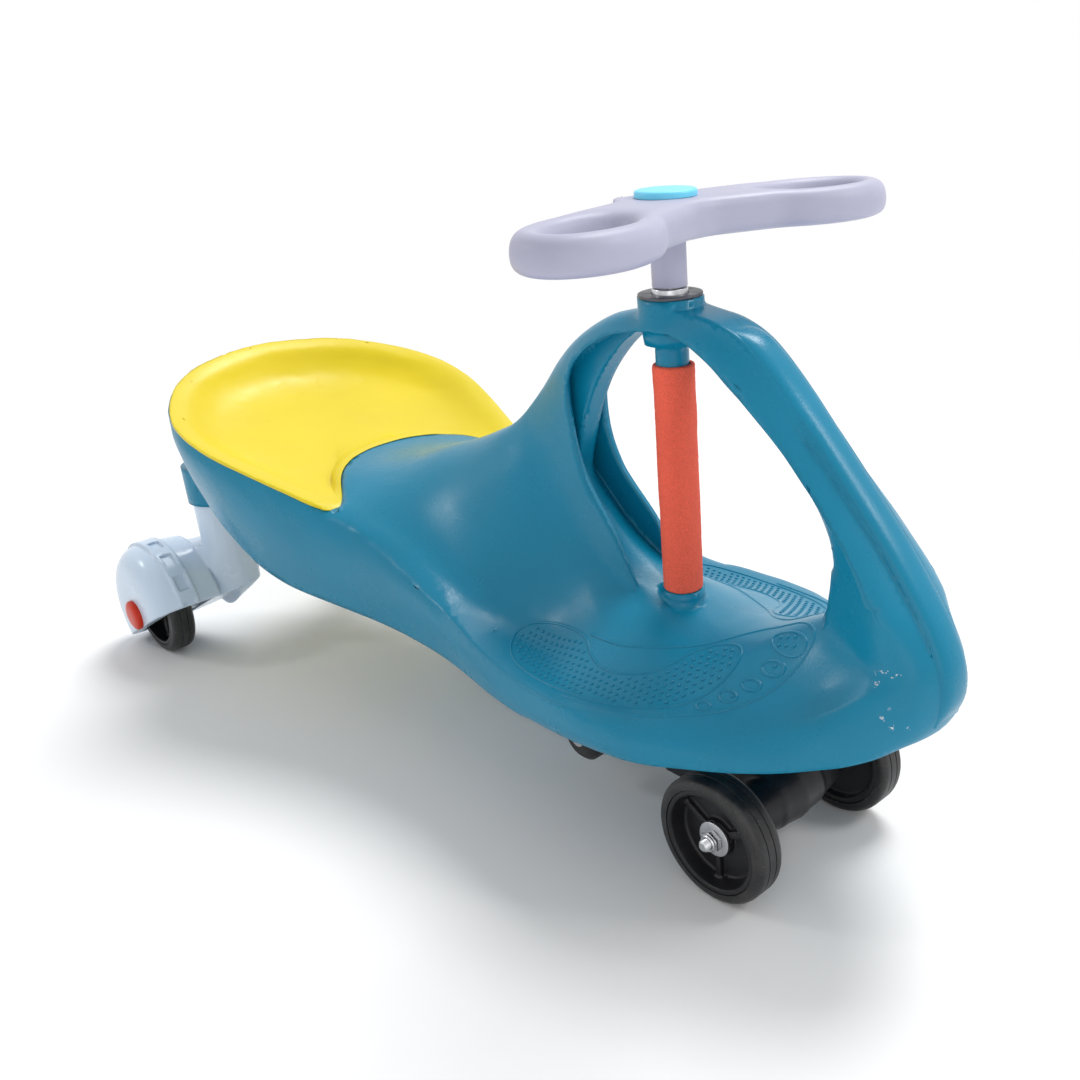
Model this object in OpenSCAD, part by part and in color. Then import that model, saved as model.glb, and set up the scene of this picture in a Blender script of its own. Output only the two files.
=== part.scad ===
// Wiggle car: a ride-on toy that rolls forward while its steering wheel is swung from side to side.
// X points forward, Y to the left and Z up, the ground is Z = 0, and lengths are in millimetres.

/* [Body] */
// Length of the moulded body, from the seat's rear edge to the nose
body_length = 762; // [600:1:900]
// Width of the moulded body across the seat
body_width = 279; // [220:1:340]
// Height of the hub's top face, where the arch carries the steering column
hub_height = 360; // [300:1:440]
// Height of the body's lower edge around the foot floor
skirt_height = 102; // [95:0.5:125]
// Distance from the steering axis forward to the nose
nose_reach = 205; // [150:1:280]
// Wall thickness of the moulded body
wall = 5; // [3:0.5:8]
// How far the body's flanks bulge outwards at half height
flank_bulge = 3; // [0:0.5:8]
// Rounding of the body's rim
rim_rounding = 4; // [1:0.5:8]
// Diameter of the hub on top of the arch
hub_diameter = 41; // [30:0.5:60]
// Height of the hub
hub_depth = 28; // [15:1:40]
// Diameter of the tube that hangs under the hub
stub_diameter = 21.4; // [16:0.1:30]
// How far that tube's lower end lies under the hub's top face
stub_drop = 48; // [36:1:80]
// Diameter of the boss that the steering column stands on
boss_diameter = 29; // [22:0.5:40]
// Height of the boss's top face, as a share of the hub's height
boss_share = 0.47; // [0.46:0.01:0.55]
// Diameter of the guide under the boss
guide_diameter = 40; // [30:1:60]

/* [Arch] */
// Thickness of the arch's outer band
band_thickness = 9; // [5:0.5:15]
// Width of the raised spine along the arch
spine_width = 25; // [15:0.5:40]
// Height of the raised spine
spine_rise = 3.5; // [1:0.5:8]
// Thickness of the web inside the arch
web_thickness = 15; // [8:0.5:25]

/* [Seat] */
// Distance from the steering axis back to the seat's front corners
seat_front = 276.5; // [230:1:320]
// Height of the body's rim at those corners, as a share of the hub's height
seat_front_share = 0.52; // [0.48:0.01:0.56]
// Slope of the seat's rim, rising to the rear, in degrees
seat_angle = 14.57; // [5:0.5:25]
// Distance from the steering axis back to the middle of the seat
seat_middle = 430; // [380:1:480]
// Height of the seat's raised edge above the body
seat_edge = 3; // [2:0.5:8]
// Depth of the seat's dish
seat_depth = 21; // [10:1:40]
// Clearance around the seat panel in the body
seat_clearance = 0.5; // [0.3:0.1:1.5]
// Width of the body's rim around the seat panel
seat_margin = 3; // [2:0.5:6]
// Width of the ledge under the seat panel
seat_ledge = 2; // [1:0.5:2.5]
// How much deeper the dish is at the rear than in the middle, as a share
seat_rear_share = 0.55; // [0:0.05:1]

/* [Steering wheel] */
// Width of the steering wheel across both loops
handle_width = 286; // [240:1:320]
// How far the loops' middles lie in front of the steering axis
handle_sweep = 33; // [0:1:60]
// Height of the steering wheel's top face over the hub's
handle_rise = 57; // [46:0.5:90]
// Thickness of the steering wheel
handle_thickness = 23; // [15:0.5:35]
// Width of the bar around each loop
bar_width = 19; // [14:0.5:26]
// Length of each loop
loop_length = 104; // [80:1:115]
// Width of each loop
loop_width = 76; // [60:1:100]
// Diameter of the steering wheel's hub
handle_hub_diameter = 62; // [45:1:80]
// Diameter of the cap
cap_diameter = 37; // [25:0.5:50]
// Thickness of the cap
cap_thickness = 4; // [2:0.5:8]
// Diameter of the stem under the steering wheel
stem_diameter = 21.4; // [16:0.1:30]
// Gap between the stem and the upper bush
stem_gap = 1; // [0.5:0.1:3]

/* [Column] */
// Diameter of the steering shaft
shaft_diameter = 14; // [10:0.5:20]
// Height of the shaft's lower end
shaft_bottom = 57; // [50:1:75]
// How far the shaft's upper end lies under the steering wheel's top face
shaft_drop = 15; // [10:0.5:18]
// Running clearance on the radius of turning pieces
running = 0.05; // [0.02:0.01:0.1]
// Clearance on the radius of passages that turning pieces only go through
passage = 1.5; // [0.5:0.1:4]
// Outer diameter of the foam sleeve
foam_diameter = 27; // [23:0.5:40]
// How far the foam sleeve laps over the tube under the hub
foam_lap = 7; // [2:0.5:18]
// Diameter of the column's bushes
bush_diameter = 22; // [18:0.5:30]
// Length of the upper bush
upper_bush_length = 26; // [15:1:40]
// Length of the lower bush
lower_bush_length = 25; // [15:1:40]
// How far the upper bush stands above the hub
bush_reveal = 5; // [2:0.5:8]
// Diameter of the washer on the hub
washer_diameter = 39.4; // [30:0.2:55]
// Thickness of the washer on the hub
washer_thickness = 2; // [1:0.5:4]
// Diameter of the lower bush's flange
flange_diameter = 36; // [28:0.5:45]
// Thickness of the lower bush's flange
flange_thickness = 3; // [2:0.5:5]
// Clearance between a bush or screw and the hole that it sits in, on the radius
seat_hole = 0.3; // [0.1:0.05:0.6]

/* [Front truck] */
// Distance from the steering axis forward to the front axle
front_axle_reach = 84; // [60:1:110]
// Diameter of the truck's turning boss
truck_boss_diameter = 46; // [36:1:60]
// Height of the truck boss's top face
truck_top = 101.5; // [95:0.5:110]
// Height of the truck boss's lower face
truck_bottom = 55; // [45:1:70]
// Diameter of the axle tube at its middle
axle_tube_middle = 42; // [30:1:55]
// Diameter of the axle tube at its ends
axle_tube_end = 27; // [20:1:40]
// Thickness of the truck's side plates
plate_thickness = 9; // [5:0.5:14]
// Distance between the middles of the side plates
plate_spacing = 32; // [24:1:44]
// Distance from the steering axis back to the balance axle
balance_setback = 66; // [50:1:85]
// Height of the balance axle
balance_height = 46; // [38:1:55]
// Diameter of the tube that holds the balance axle
balance_tube = 20; // [14:1:28]
// Diameter of the balance wheels
balance_diameter = 38; // [34:1:54]
// Width of the balance wheels
balance_width = 16; // [10:1:24]
// Distance between the middles of the balance wheels
balance_track = 76; // [60:1:96]
// Diameter of the balance axle
balance_axle_diameter = 6; // [4:0.5:8]
// Thickness of the thrust washer on the truck
thrust_thickness = 4; // [2:0.5:6]
// Gap between the thrust washer and the lower bush
thrust_gap = 0.5; // [0.3:0.1:2]
// Diameter of the pin that locks the shaft in the truck
lock_pin_diameter = 5; // [3:0.5:8]
// Height of that pin
lock_pin_height = 75; // [65:1:95]

/* [Wheels] */
// Diameter of the road wheels
wheel_diameter = 87; // [80:1:120]
// Width of the road wheels
wheel_width = 22; // [18:1:34]
// Diameter of the hub inside the tyre
rim_diameter = 72; // [55:1:90]
// Diameter of the recess in the wheel's outer face
recess_diameter = 60; // [40:1:70]
// Depth of that recess
recess_depth = 12; // [8:1:15]
// Depth of the hollow in the wheel's inner face
back_depth = 4; // [0:0.5:6]
// Rounding of the tyre's shoulders
shoulder = 4.5; // [2:0.5:8]
// Diameter of the wheel's bearing boss
bearing_diameter = 24; // [16:1:34]
// Height of the bearing boss inside the recess
bearing_rise = 4; // [2:0.5:6]
// Thickness of the ribs inside the recess
rib_thickness = 5; // [3:0.5:8]
// Distance between the outer faces of the front wheels
front_track = 150; // [120:1:190]
// Diameter of the axles
axle_diameter = 8; // [6:0.5:12]
// Length of the front axle's ends outside their nuts
axle_overhang = 4; // [1:0.5:8]
// Gap beside a wheel on its axle
wheel_gap = 0.6; // [0.3:0.1:1.5]

/* [Rear pods] */
// Distance from the steering axis back to the rear axles
rear_setback = 547; // [500:1:590]
// Distance from the middle to a pod's outer face
pod_face = 169; // [140:1:200]
// Distance from the middle to a pod's inner face
pod_inner = 110; // [90:1:130]
// Distance from the middle to a rear wheel's outer face
rear_wheel_face = 154; // [130:1:180]
// Radius of the pod's wheel housing
pod_radius = 61; // [55:0.5:70]
// Radius of the flat on the pod's outer face
pod_flat_radius = 31; // [15:1:45]
// Width of the raised ring around the pod
ring_width = 17; // [8:1:25]
// Height of that ring
ring_rise = 2.5; // [1:0.5:5]
// Clearance around a wheel in its pod
pod_clearance = 3; // [1.5:0.5:6]
// Tilt of the pod's open lower edge, in degrees
pod_tilt = 28; // [0:1:45]
// Distance of that edge below the axle
pod_lip = 13; // [8:0.5:25]
// Distance from the steering axis back to a pod's post
post_setback = 511; // [470:1:530]
// Distance from the middle to a pod's post
post_offset = 84; // [60:1:110]
// Diameter of a pod's post
post_diameter = 45; // [36:1:60]
// Height of a post's lower end
post_bottom = 60; // [54:1:80]
// Height of a post's shoulder under the body, as a share of the hub's height
post_share = 0.399; // [0.38:0.001:0.42]
// Diameter of the socket that takes a post
socket_diameter = 52; // [40:1:70]
// Height of a socket's upper end, as a share of the hub's height
socket_share = 0.492; // [0.47:0.001:0.51]
// Diameter of the spigot on top of a post
spigot_diameter = 34; // [24:1:40]
// Length of that spigot
spigot_length = 22; // [12:1:28]
// Diameter of the axle caps
axle_cap_diameter = 23; // [16:0.5:30]
// Thickness of the axle caps
axle_cap_thickness = 4; // [2:0.5:8]

/* [Hardware] */
// Width across flats of the axle nuts and the handle bolt
nut_flats = 13; // [10:0.5:17]
// Thickness of the axle nuts
nut_thickness = 6.5; // [4:0.5:9]
// Diameter of the axle washers
axle_washer_diameter = 24; // [16:1:30]
// Thickness of the axle washers
axle_washer_thickness = 2; // [1:0.5:3]
// Thickness of the handle bolt's head
bolt_head = 5.3; // [4:0.1:8]
// Length of the handle bolt's shank
bolt_length = 28; // [15:1:40]
// Diameter of the pod screws
screw_diameter = 5; // [4:0.5:6]
// Diameter of the pod screws' heads
screw_head_diameter = 10; // [8:0.5:14]
// Thickness of the pod screws' heads
screw_head = 3; // [2:0.5:5]

/* [Hidden] */
// Facets of hulls and of lofted rings
hull_fn = 20;
// Facets of turned pieces
turn_fn = 64;
// Overlap that lets joined solids merge, and cuts break through
bite = wall / 5;
// Lengths from the steering axis to the part's front and rear end
tail_reach = rear_setback + pod_radius + ring_rise;
// Place of the steering axis along X, with the part's middle at zero
axis_x = (tail_reach - nose_reach) / 2;
// Half of the body's width
half_width = body_width / 2;
// Radius and width values that several pieces share
wheel_radius = wheel_diameter / 2;
axle_radius = axle_diameter / 2;
shaft_radius = shaft_diameter / 2;
stub_radius = stub_diameter / 2;
bush_radius = bush_diameter / 2;
// Share of the hub's height at which the body's lower edge lies, and the height of one whole share
lowest_share = 0.2869;
rise_unit = (hub_height - skirt_height) / (1 - lowest_share);

// Height of a share of the body, counted from its lower edge
function level(share) = skirt_height + (share - lowest_share) * rise_unit;

stub_bottom = hub_height - stub_drop;
boss_top = level(boss_share);
guide_bottom = truck_top + thrust_thickness + thrust_gap + flange_thickness;
seat_front_height = level(seat_front_share);
handle_top = hub_height + handle_rise;
handle_bottom = handle_top - handle_thickness;
stem_bottom = hub_height + bush_reveal + stem_gap;
shaft_top = handle_top - shaft_drop;
foam_top = stub_bottom + foam_lap;
post_top = level(post_share);
socket_top = level(socket_share);
rear_axle_x = axis_x - rear_setback;
front_axle_x = axis_x + front_axle_reach;
balance_x = axis_x - balance_setback;
post_x = axis_x - post_setback;
tube_half = front_track / 2 - wheel_width - wheel_gap;
nut_radius = nut_flats / 2 / cos(30);

// Body under the seat: place along X, rim width, lower width, lower height
tail_shares = [
    [-1.000, 0.07, 0.04, 0.68],
    [-0.973, 0.46, 0.39, 0.52],
    [-0.917, 0.75, 0.66, 0.43],
    [-0.834, 0.95, 0.79, 0.40],
    [-0.765, 1.00, 0.83, 0.38],
    [-0.695, 0.97, 0.85, 0.35],
    [-0.610, 0.88, 0.82, 0.32]
];
// Body from the seat to the nose: place along X, rim width, rim height, lower width, lower height,
// rise of the crest over the rim, and the part of the width that the crest's swell takes up
deck_shares = [
    [-0.528, 0.78, 0.532, 0.78, 0.313, 0.045, 0.98],
    [-0.459, 0.72, 0.510, 0.74, 0.309, 0.10, 0.97],
    [-0.361, 0.69, 0.468, 0.70, 0.303, 0.19, 0.92],
    [-0.250, 0.72, 0.411, 0.70, 0.293, 0.32, 0.77],
    [-0.180, 0.77, 0.380, 0.74, 0.290, 0.295, 0.64],
    [-0.111, 0.81, 0.367, 0.78, 0.287, 0.19, 0.66],
    [-0.014, 0.84, 0.363, 0.79, 0.287, 0.095, 0.92],
    [0.22, 0.79, 0.366, 0.75, 0.292, 0.075, 1.00],
    [0.41, 0.66, 0.371, 0.66, 0.303, 0.097, 0.96],
    [0.59, 0.50, 0.388, 0.54, 0.315, 0.137, 0.88],
    [0.73, 0.385, 0.420, 0.42, 0.330, 0.148, 0.85],
    [0.865, 0.275, 0.480, 0.275, 0.350, 0.10, 0.95],
    [0.965, 0.165, 0.510, 0.115, 0.380, 0.02, 1.00],
    [1.000, 0.06, 0.487, 0.04, 0.425, 0.008, 1.00]
];
// Places across the body's top, from the rim to the crest
top_shares = [0.86, 0.74, 0.62, 0.51, 0.41, 0.31, 0.21, 0.11];

// Front edge of the seat, from its corner to the middle of the tongue: place along X and half width
tongue_shares = [[-0.508, 0.725], [-0.497, 0.68], [-0.500, 0.62], [-0.525, 0.555], [-0.559, 0.47],
    [-0.588, 0.36], [-0.607, 0.23], [-0.615, 0.1], [-0.616, 0]];

// Seat panel from the middle of its underside outwards and back over its top: distance from the middle,
// then how deep it lies along the seat's edge and along the tongue, where values below zero
// lie above the rim
seat_under_shares = [[0.02, 1.2, 1.2], [0.5, 1.14, 0.9], [0.74, 0.95, 0.52], [0.86, 0.55, 0.27],
    [0.93, 0.17, 0.12], [0.955, 0, 0]];
seat_over_shares = [[1, 0, 0], [1, -0.6, -0.3], [0.985, -1, -0.4], [0.955, -1, -0.4], [0.9, -0.2, -0.1],
    [0.84, 0.3, 0.06], [0.74, 0.7, 0.26], [0.5, 0.9, 0.66], [0.25, 0.95, 0.88], [0.02, 0.96, 0.96]];

// Arch: place along X and height of its spine, place along X and height of its edges, and half width
arch_shares = [
    [-0.360, 0.500, -0.030, 0.440, 0.17],
    [-0.345, 0.600, -0.072, 0.555, 0.16],
    [-0.312, 0.682, -0.118, 0.632, 0.14],
    [-0.265, 0.743, -0.138, 0.690, 0.13],
    [-0.228, 0.795, -0.1445, 0.735, 0.125],
    [-0.192, 0.850, -0.147, 0.801, 0.13],
    [-0.147, 0.907, -0.131, 0.872, 0.137],
    [-0.090, 0.956, -0.070, 0.930, 0.143],
    [-0.036, 0.975, -0.025, 0.945, 0.147],
    [0.05, 0.981, 0.043, 0.951, 0.147],
    [0.172, 0.975, 0.163, 0.940, 0.148],
    [0.287, 0.958, 0.250, 0.908, 0.152],
    [0.407, 0.910, 0.360, 0.866, 0.158],
    [0.589, 0.797, 0.530, 0.790, 0.168],
    [0.785, 0.671, 0.725, 0.676, 0.195],
    [0.880, 0.600, 0.825, 0.594, 0.228],
    [0.945, 0.545, 0.885, 0.530, 0.236],
    [0.985, 0.480, 0.900, 0.460, 0.20]
];
// Inner edge of the arch's web behind the column, from the hub down into the body
rear_web_shares = [[-0.028, 0.948], [-0.055, 0.928], [-0.09, 0.88], [-0.118, 0.826], [-0.136, 0.772],
    [-0.151, 0.708], [-0.161, 0.645], [-0.172, 0.58], [-0.233, 0.56], [-0.296, 0.615]];
// Inner edge of the arch's web in front of the column, from the hub down into the body
front_web_shares = [[0.037, 0.951], [0.135, 0.917], [0.25, 0.876], [0.36, 0.836], [0.46, 0.79],
    [0.54, 0.742], [0.59, 0.697], [0.62, 0.655], [0.637, 0.62], [0.63, 0.585], [0.59, 0.53],
    [0.66, 0.464], [0.88, 0.492]];
// Window's edge along the front leg, where the leg widens into the nose: place along X, height, half width
leg_shares = [
    [0.345, 0.838, 0.06],
    [0.505, 0.762, 0.07],
    [0.600, 0.680, 0.085],
    [0.630, 0.612, 0.10],
    [0.625, 0.545, 0.11],
    [0.610, 0.460, 0.11]
];

teal = [0.05, 0.42, 0.5];
yellow = [0.95, 0.86, 0.02];
lilac = [0.74, 0.72, 0.82];
sky = [0.25, 0.72, 0.88];
coral = [0.93, 0.36, 0.27];
pale_blue = [0.72, 0.8, 0.87];
orange = [0.93, 0.25, 0.1];
black = [0.05, 0.05, 0.055];
dark = [0.13, 0.13, 0.14];
steel = [0.7, 0.71, 0.73];
white = [0.9, 0.9, 0.88];

// A place along X, as a share of the length in front of the steering axis or behind it
function place(share) = share * (share > 0 ? nose_reach : body_length - nose_reach);

// Height of the seat's rim plane at a distance along X
function seat_level(x) = seat_front_height + tan(seat_angle) * (-seat_front - x);

// A smooth swell from 1 in the middle to 0 at u = 1
function swell(u) = u >= 1 ? 0 : 1 - u * u * (3 - 2 * u);

// Half of a body section, from its lower edge over the rim to the crest, drawn in by an offset
function half_section(rim_w, rim_z, low_w, low_z, crest_z, hump, inset) =
    let (
        w = rim_w - inset,
        edge = min(rim_rounding, w * 0.12),
        z = rim_z - inset,
        crest = crest_z - inset
    )
    concat(
        [
            [low_w - inset, low_z - inset * 4],
            [(low_w + rim_w) / 2 + flank_bulge - inset, (low_z + rim_z) / 2],
            [w, z - edge],
            [w - edge * 0.8, z]
        ],
        [for (t = top_shares) [w * t, z + (crest - z) * swell(t / hump)]],
        [[0, crest]]
    );

// A closed section at a place along X
function section(x, half) = concat(
    [for (p = half) [x, p[0], p[1]]],
    [for (i = [len(half) - 2:-1:0]) [x, -half[i][0], half[i][1]]]
);

// A row of a table between two others, on a smooth curve through all rows
function curve_row(rows, i, t) =
    let (
        last = len(rows) - 1,
        b = rows[i],
        c = rows[i + 1],
        a = i > 0 ? rows[i - 1] : 2 * b - c,
        d = i + 2 > last ? 2 * c - b : rows[i + 2]
    )
    b + 0.5 * t * (c - a + t * (2 * a - 5 * b + 4 * c - d + t * (3 * (b - c) + d - a)));

function curve(rows, steps) = concat(
    [for (i = [0:len(rows) - 2]) for (k = [0:steps - 1]) curve_row(rows, i, k / steps)],
    [rows[len(rows) - 1]]
);

// The body's stations: place, rim width, rim height, lower width, lower height, crest rise, swell
body_rows = concat(
    [for (s = tail_shares) [place(s[0]), s[1] * half_width, seat_level(place(s[0])),
        s[2] * half_width, level(s[3]), 0, 1]],
    [for (s = deck_shares) [place(s[0]), s[1] * half_width, level(s[2]),
        s[3] * half_width, level(s[4]), s[5] * rise_unit, s[6]]]
);
body_stations = curve(body_rows, 2);

function body_section(s, inset) =
    let (rim = s[0] <= -seat_front ? seat_level(s[0]) : s[2])
    section(s[0], half_section(s[1], rim, s[3], s[4], rim + max(s[5], 0), min(s[6], 1), inset));

// A closed solid through a row of rings with the same number of points
module loft(rings) {
    n = len(rings[0]);
    last = len(rings) - 1;
    points = [for (r = rings) each r];
    sides = [
        for (i = [0:last - 1])
            for (j = [0:n - 1])
                let (a = i * n + j, b = i * n + (j + 1) % n)
                each [[a, a + n, b + n], [a, b + n, b]]
    ];
    first_cap = [[for (j = [0:n - 1]) j]];
    last_cap = [[for (j = [n - 1:-1:0]) last * n + j]];
    polyhedron(points, concat(sides, first_cap, last_cap));
}

module at_axis() {
    translate([axis_x, 0, 0])
        children();
}

module ring(outer, inner, bottom, top) {
    translate([0, 0, bottom])
        difference() {
            cylinder(r = outer, h = top - bottom, $fn = turn_fn);
            translate([0, 0, -bite])
                cylinder(r = inner, h = top - bottom + 2 * bite, $fn = turn_fn);
        }
}

// A rod across the car, from one place along Y to another
module cross_rod(r, y_from, y_to) {
    translate([0, y_from, 0])
        rotate([-90, 0, 0])
            cylinder(r = r, h = y_to - y_from, $fn = turn_fn);
}

module mirrored() {
    children();
    mirror([0, 1, 0])
        children();
}

// Body

module body_skin() {
    hollow = [for (s = body_rows) if (s[3] > wall * 5) s];
    difference() {
        loft([for (s = body_stations) body_section(s, 0)]);
        loft([for (s = hollow) body_section(s, wall)]);
        on_seat_plane(-seat_edge * 4, seat_edge * 6)
            offset(delta = -seat_ledge)
                seat_shape();
        on_seat_plane(0, seat_edge * 6)
            offset(delta = seat_clearance)
                seat_shape();
    }
}

// A point of the body's rim, drawn in by the seat's margin
function inset_rim(i) =
    let (
        p = [body_stations[i][0], body_stations[i][1]],
        a = i > 0 ? [body_stations[i - 1][0], body_stations[i - 1][1]] : [p[0], 0],
        b = [body_stations[i + 1][0], body_stations[i + 1][1]],
        d = (b - a) / norm(b - a)
    )
    p + [d[1], -d[0]] * seat_margin;

// Half of the seat's outline: along the body's rim, then over the tongue to the middle
tongue = curve([for (s = tongue_shares) [place(s[0]), s[1] * half_width]], 2);
seat_half = concat(
    [for (i = [0:len(body_stations) - 1]) if (body_stations[i][0] < tongue[0][0] - wall) inset_rim(i)],
    tongue
);

// Seat outline, seen from above, from the rear along the right side and back along the left
function seat_outline() = concat(
    [for (p = seat_half) [p[0], -p[1]]],
    [for (i = [len(seat_half) - 2:-1:0]) seat_half[i]]
);

module seat_shape() {
    polygon(seat_outline());
}

// A prism between two heights over the seat's rim plane
module on_seat_plane(bottom, top) {
    slope = -tan(seat_angle);
    start = seat_level(0);
    multmatrix([[1, 0, 0, 0], [0, 1, 0, 0], [slope, 0, 1, start + bottom], [0, 0, 0, 1]])
        linear_extrude(height = top - bottom)
            children();
}

arch_rows = curve([for (s = arch_shares)
    [place(s[0]), level(s[1]), place(s[2]), level(s[3]), s[4] * half_width]], 2);
arch_last = len(arch_rows) - 1;
arch_top = 18;

// The spine's point, the edges' point, and the direction from one to the other
function arch_point(i) = [arch_rows[i][0], arch_rows[i][1]];
function arch_edge(i) = [arch_rows[i][2], arch_rows[i][3]];
function arch_inward(i) = (arch_edge(i) - arch_point(i)) / norm(arch_edge(i) - arch_point(i));

// Outward direction of the arch at a point
function arch_normal(i) =
    let (
        a = arch_point(max(i - 1, 0)),
        b = arch_point(min(i + 1, arch_last)),
        d = (b - a) / norm(b - a)
    )
    [-d[1], d[0]];

// A point of the band's round section: 0 on the spine and 1 on the edge, sunk by a depth
function arch_round(i, k, sink) =
    let (
        from = arch_point(i) + arch_inward(i) * sink,
        at = from + (arch_edge(i) - from) * (1 - cos(90 * k))
    )
    [at[0], (arch_rows[i][4] - sink / 2) * sin(90 * k), at[1]];

// Places around the band's section, from the spine to the edge inside and back to the spine outside
band_inner_shares = [0.3, 0.7, 1];
band_outer_shares = [1, 0.85, 0.62, 0.38, 0.15];

function arch_ring(i) =
    let (
        half = concat(
            [for (k = band_inner_shares) arch_round(i, k, band_thickness)],
            [for (k = band_outer_shares) arch_round(i, k, 0)]
        )
    )
    concat(half, [for (j = [len(half) - 1:-1:0]) [half[j][0], -half[j][1], half[j][2]]]);

module arch_band() {
    loft([for (i = [0:arch_last]) arch_ring(i)]);
}

module spine_block(i) {
    p = arch_point(i);
    n = arch_normal(i);
    translate([p[0], 0, p[1]])
        rotate([0, atan2(n[0], n[1]), 0])
            translate([0, 0, (spine_rise - band_thickness) / 2])
                cube([bite, spine_width, band_thickness], center = true);
}

module arch_spine() {
    for (i = [arch_top:arch_last - 1])
        hull() {
            spine_block(i);
            spine_block(i + 1);
        }
}

// One half of the web between the arch's band and the window's edge
module arch_web(edge_shares, from, to) {
    edge = [for (s = edge_shares) [place(s[0]), level(s[1])]];
    band = [for (i = [from:to]) arch_point(i) + arch_inward(i) * band_thickness * 0.6];
    translate([0, web_thickness / 2, 0])
        rotate([90, 0, 0])
            linear_extrude(height = web_thickness)
                polygon(concat(band, edge));
}

// The front leg's sides, from the band's edges to the window's edge
leg_rows = curve([for (s = leg_shares) [place(s[0]), level(s[1]), s[2] * half_width]], 2);
leg_top = arch_last - len(leg_rows) + 1;

function leg_ring(i) =
    let (
        w = arch_rows[i][4],
        e = arch_edge(i),
        p = arch_point(i) + arch_inward(i) * band_thickness / 2,
        q = leg_rows[i - leg_top],
        half = [[q[0], q[2], q[1]], [e[0], w - bite, e[1]], [p[0], w * 0.6, p[1]]]
    )
    concat(half, [for (j = [len(half) - 1:-1:0]) [half[j][0], -half[j][1], half[j][2]]]);

module arch_leg() {
    loft([for (i = [leg_top:arch_last]) leg_ring(i)]);
}

module arch() {
    arch_band();
    arch_leg();
    arch_spine();
    arch_web(rear_web_shares, 0, arch_top);
    arch_web([for (i = [len(front_web_shares) - 1:-1:0]) front_web_shares[i]], arch_top, arch_last);
}

module column_solids() {
    translate([0, 0, hub_height - hub_depth])
        cylinder(r1 = hub_diameter * 0.42, r2 = hub_diameter / 2, h = hub_depth, $fn = turn_fn);
    translate([0, 0, stub_bottom])
        cylinder(r = stub_radius, h = hub_height - hub_depth - stub_bottom + bite, $fn = turn_fn);
    translate([0, 0, guide_bottom])
        cylinder(r = guide_diameter / 2, h = boss_top - wall * 3 - guide_bottom, $fn = turn_fn);
    translate([0, 0, guide_bottom + wall])
        cylinder(r = boss_diameter / 2, h = boss_top - guide_bottom - wall, $fn = turn_fn);
}

module column_bores() {
    through = shaft_radius + passage;
    translate([0, 0, guide_bottom - bite])
        cylinder(r = through, h = hub_height - guide_bottom + 2 * bite, $fn = turn_fn);
    translate([0, 0, hub_height + bush_reveal - upper_bush_length])
        cylinder(r = bush_radius + seat_hole, h = upper_bush_length, $fn = turn_fn);
    translate([0, 0, guide_bottom - bite])
        cylinder(r = bush_radius + seat_hole, h = lower_bush_length + 2 * bite, $fn = turn_fn);
}

module at_post() {
    translate([-post_setback, -post_offset, 0])
        children();
}

module socket_solid() {
    at_post()
        translate([0, 0, post_top])
            cylinder(r = socket_diameter / 2, h = socket_top - post_top, $fn = turn_fn);
}

module socket_bore() {
    at_post() {
        translate([0, 0, post_top - bite])
            cylinder(r = spigot_diameter / 2 + seat_hole, h = spigot_length + 4 * bite, $fn = turn_fn);
        translate([0, 0, post_top])
            cylinder(r = screw_diameter / 2 + seat_hole, h = socket_top - post_top + bite, $fn = hull_fn);
    }
}

module body_shell() {
    color(teal)
        at_axis()
            union() {
                difference() {
                    union() {
                        body_skin();
                        arch();
                        column_solids();
                        mirrored()
                            socket_solid();
                    }
                    column_bores();
                    mirrored()
                        socket_bore();
                }
            }
}

// Seat

// How much a point of the outline belongs to the tongue, from 0 at the seat's edge to 1 in the middle
function tongue_part(p) =
    p[0] < -seat_middle || abs(p[1]) > tongue[0][1] ? 0 : 1 - pow(abs(p[1]) / tongue[0][1], 2);

// A depth below the rim plane, or a height over it where the share is below zero
function sunk(share) = share * (share > 0 ? seat_depth : seat_edge);

// How fast the rings straighten out in front of the tongue, and from which ring inwards
fill_share = 1.75;
fill_start_share = 0.9;

// One ring of the seat panel, drawn in towards its middle and sunk below the rim plane
function seat_ring(share, edge_depth, tongue_depth) = [
    for (p = seat_outline())
        let (
            part = tongue_part(p),
            fill = part * min(1, max(0, fill_share * (fill_start_share - share))) * (tongue[0][0] - p[0]),
            keep = min(1, 2 * part) * max(0, 2 * share - 1),
            x = -seat_middle + (p[0] + fill + seat_middle) * share,
            lean = 1 - seat_rear_share * (x + seat_middle) / half_width,
            depth = sunk(edge_depth) * (1 - part) + sunk(tongue_depth) * part
        )
        [x, p[1] * (share + (1 - share) * keep), seat_level(x) - (depth > 0 ? depth * lean : depth)]
];

module seat_panel() {
    color(yellow)
        at_axis()
            loft([for (s = concat(seat_under_shares, seat_over_shares)) seat_ring(s[0], s[1], s[2])]);
}

// Steering column

module column_tube() {
    color(teal)
        at_axis()
            ring(stub_radius, shaft_radius + passage, boss_top, stub_bottom);
}

module foam_sleeve() {
    color(coral)
        at_axis()
            ring(foam_diameter / 2, stub_radius + running, boss_top, foam_top);
}

module upper_bush() {
    top = hub_height + bush_reveal;
    color(steel)
        at_axis()
            ring(bush_radius, shaft_radius + running, top - upper_bush_length, top);
}

module hub_washer() {
    color(steel)
        at_axis()
            ring(washer_diameter / 2, bush_radius + seat_hole, hub_height, hub_height + washer_thickness);
}

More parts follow.
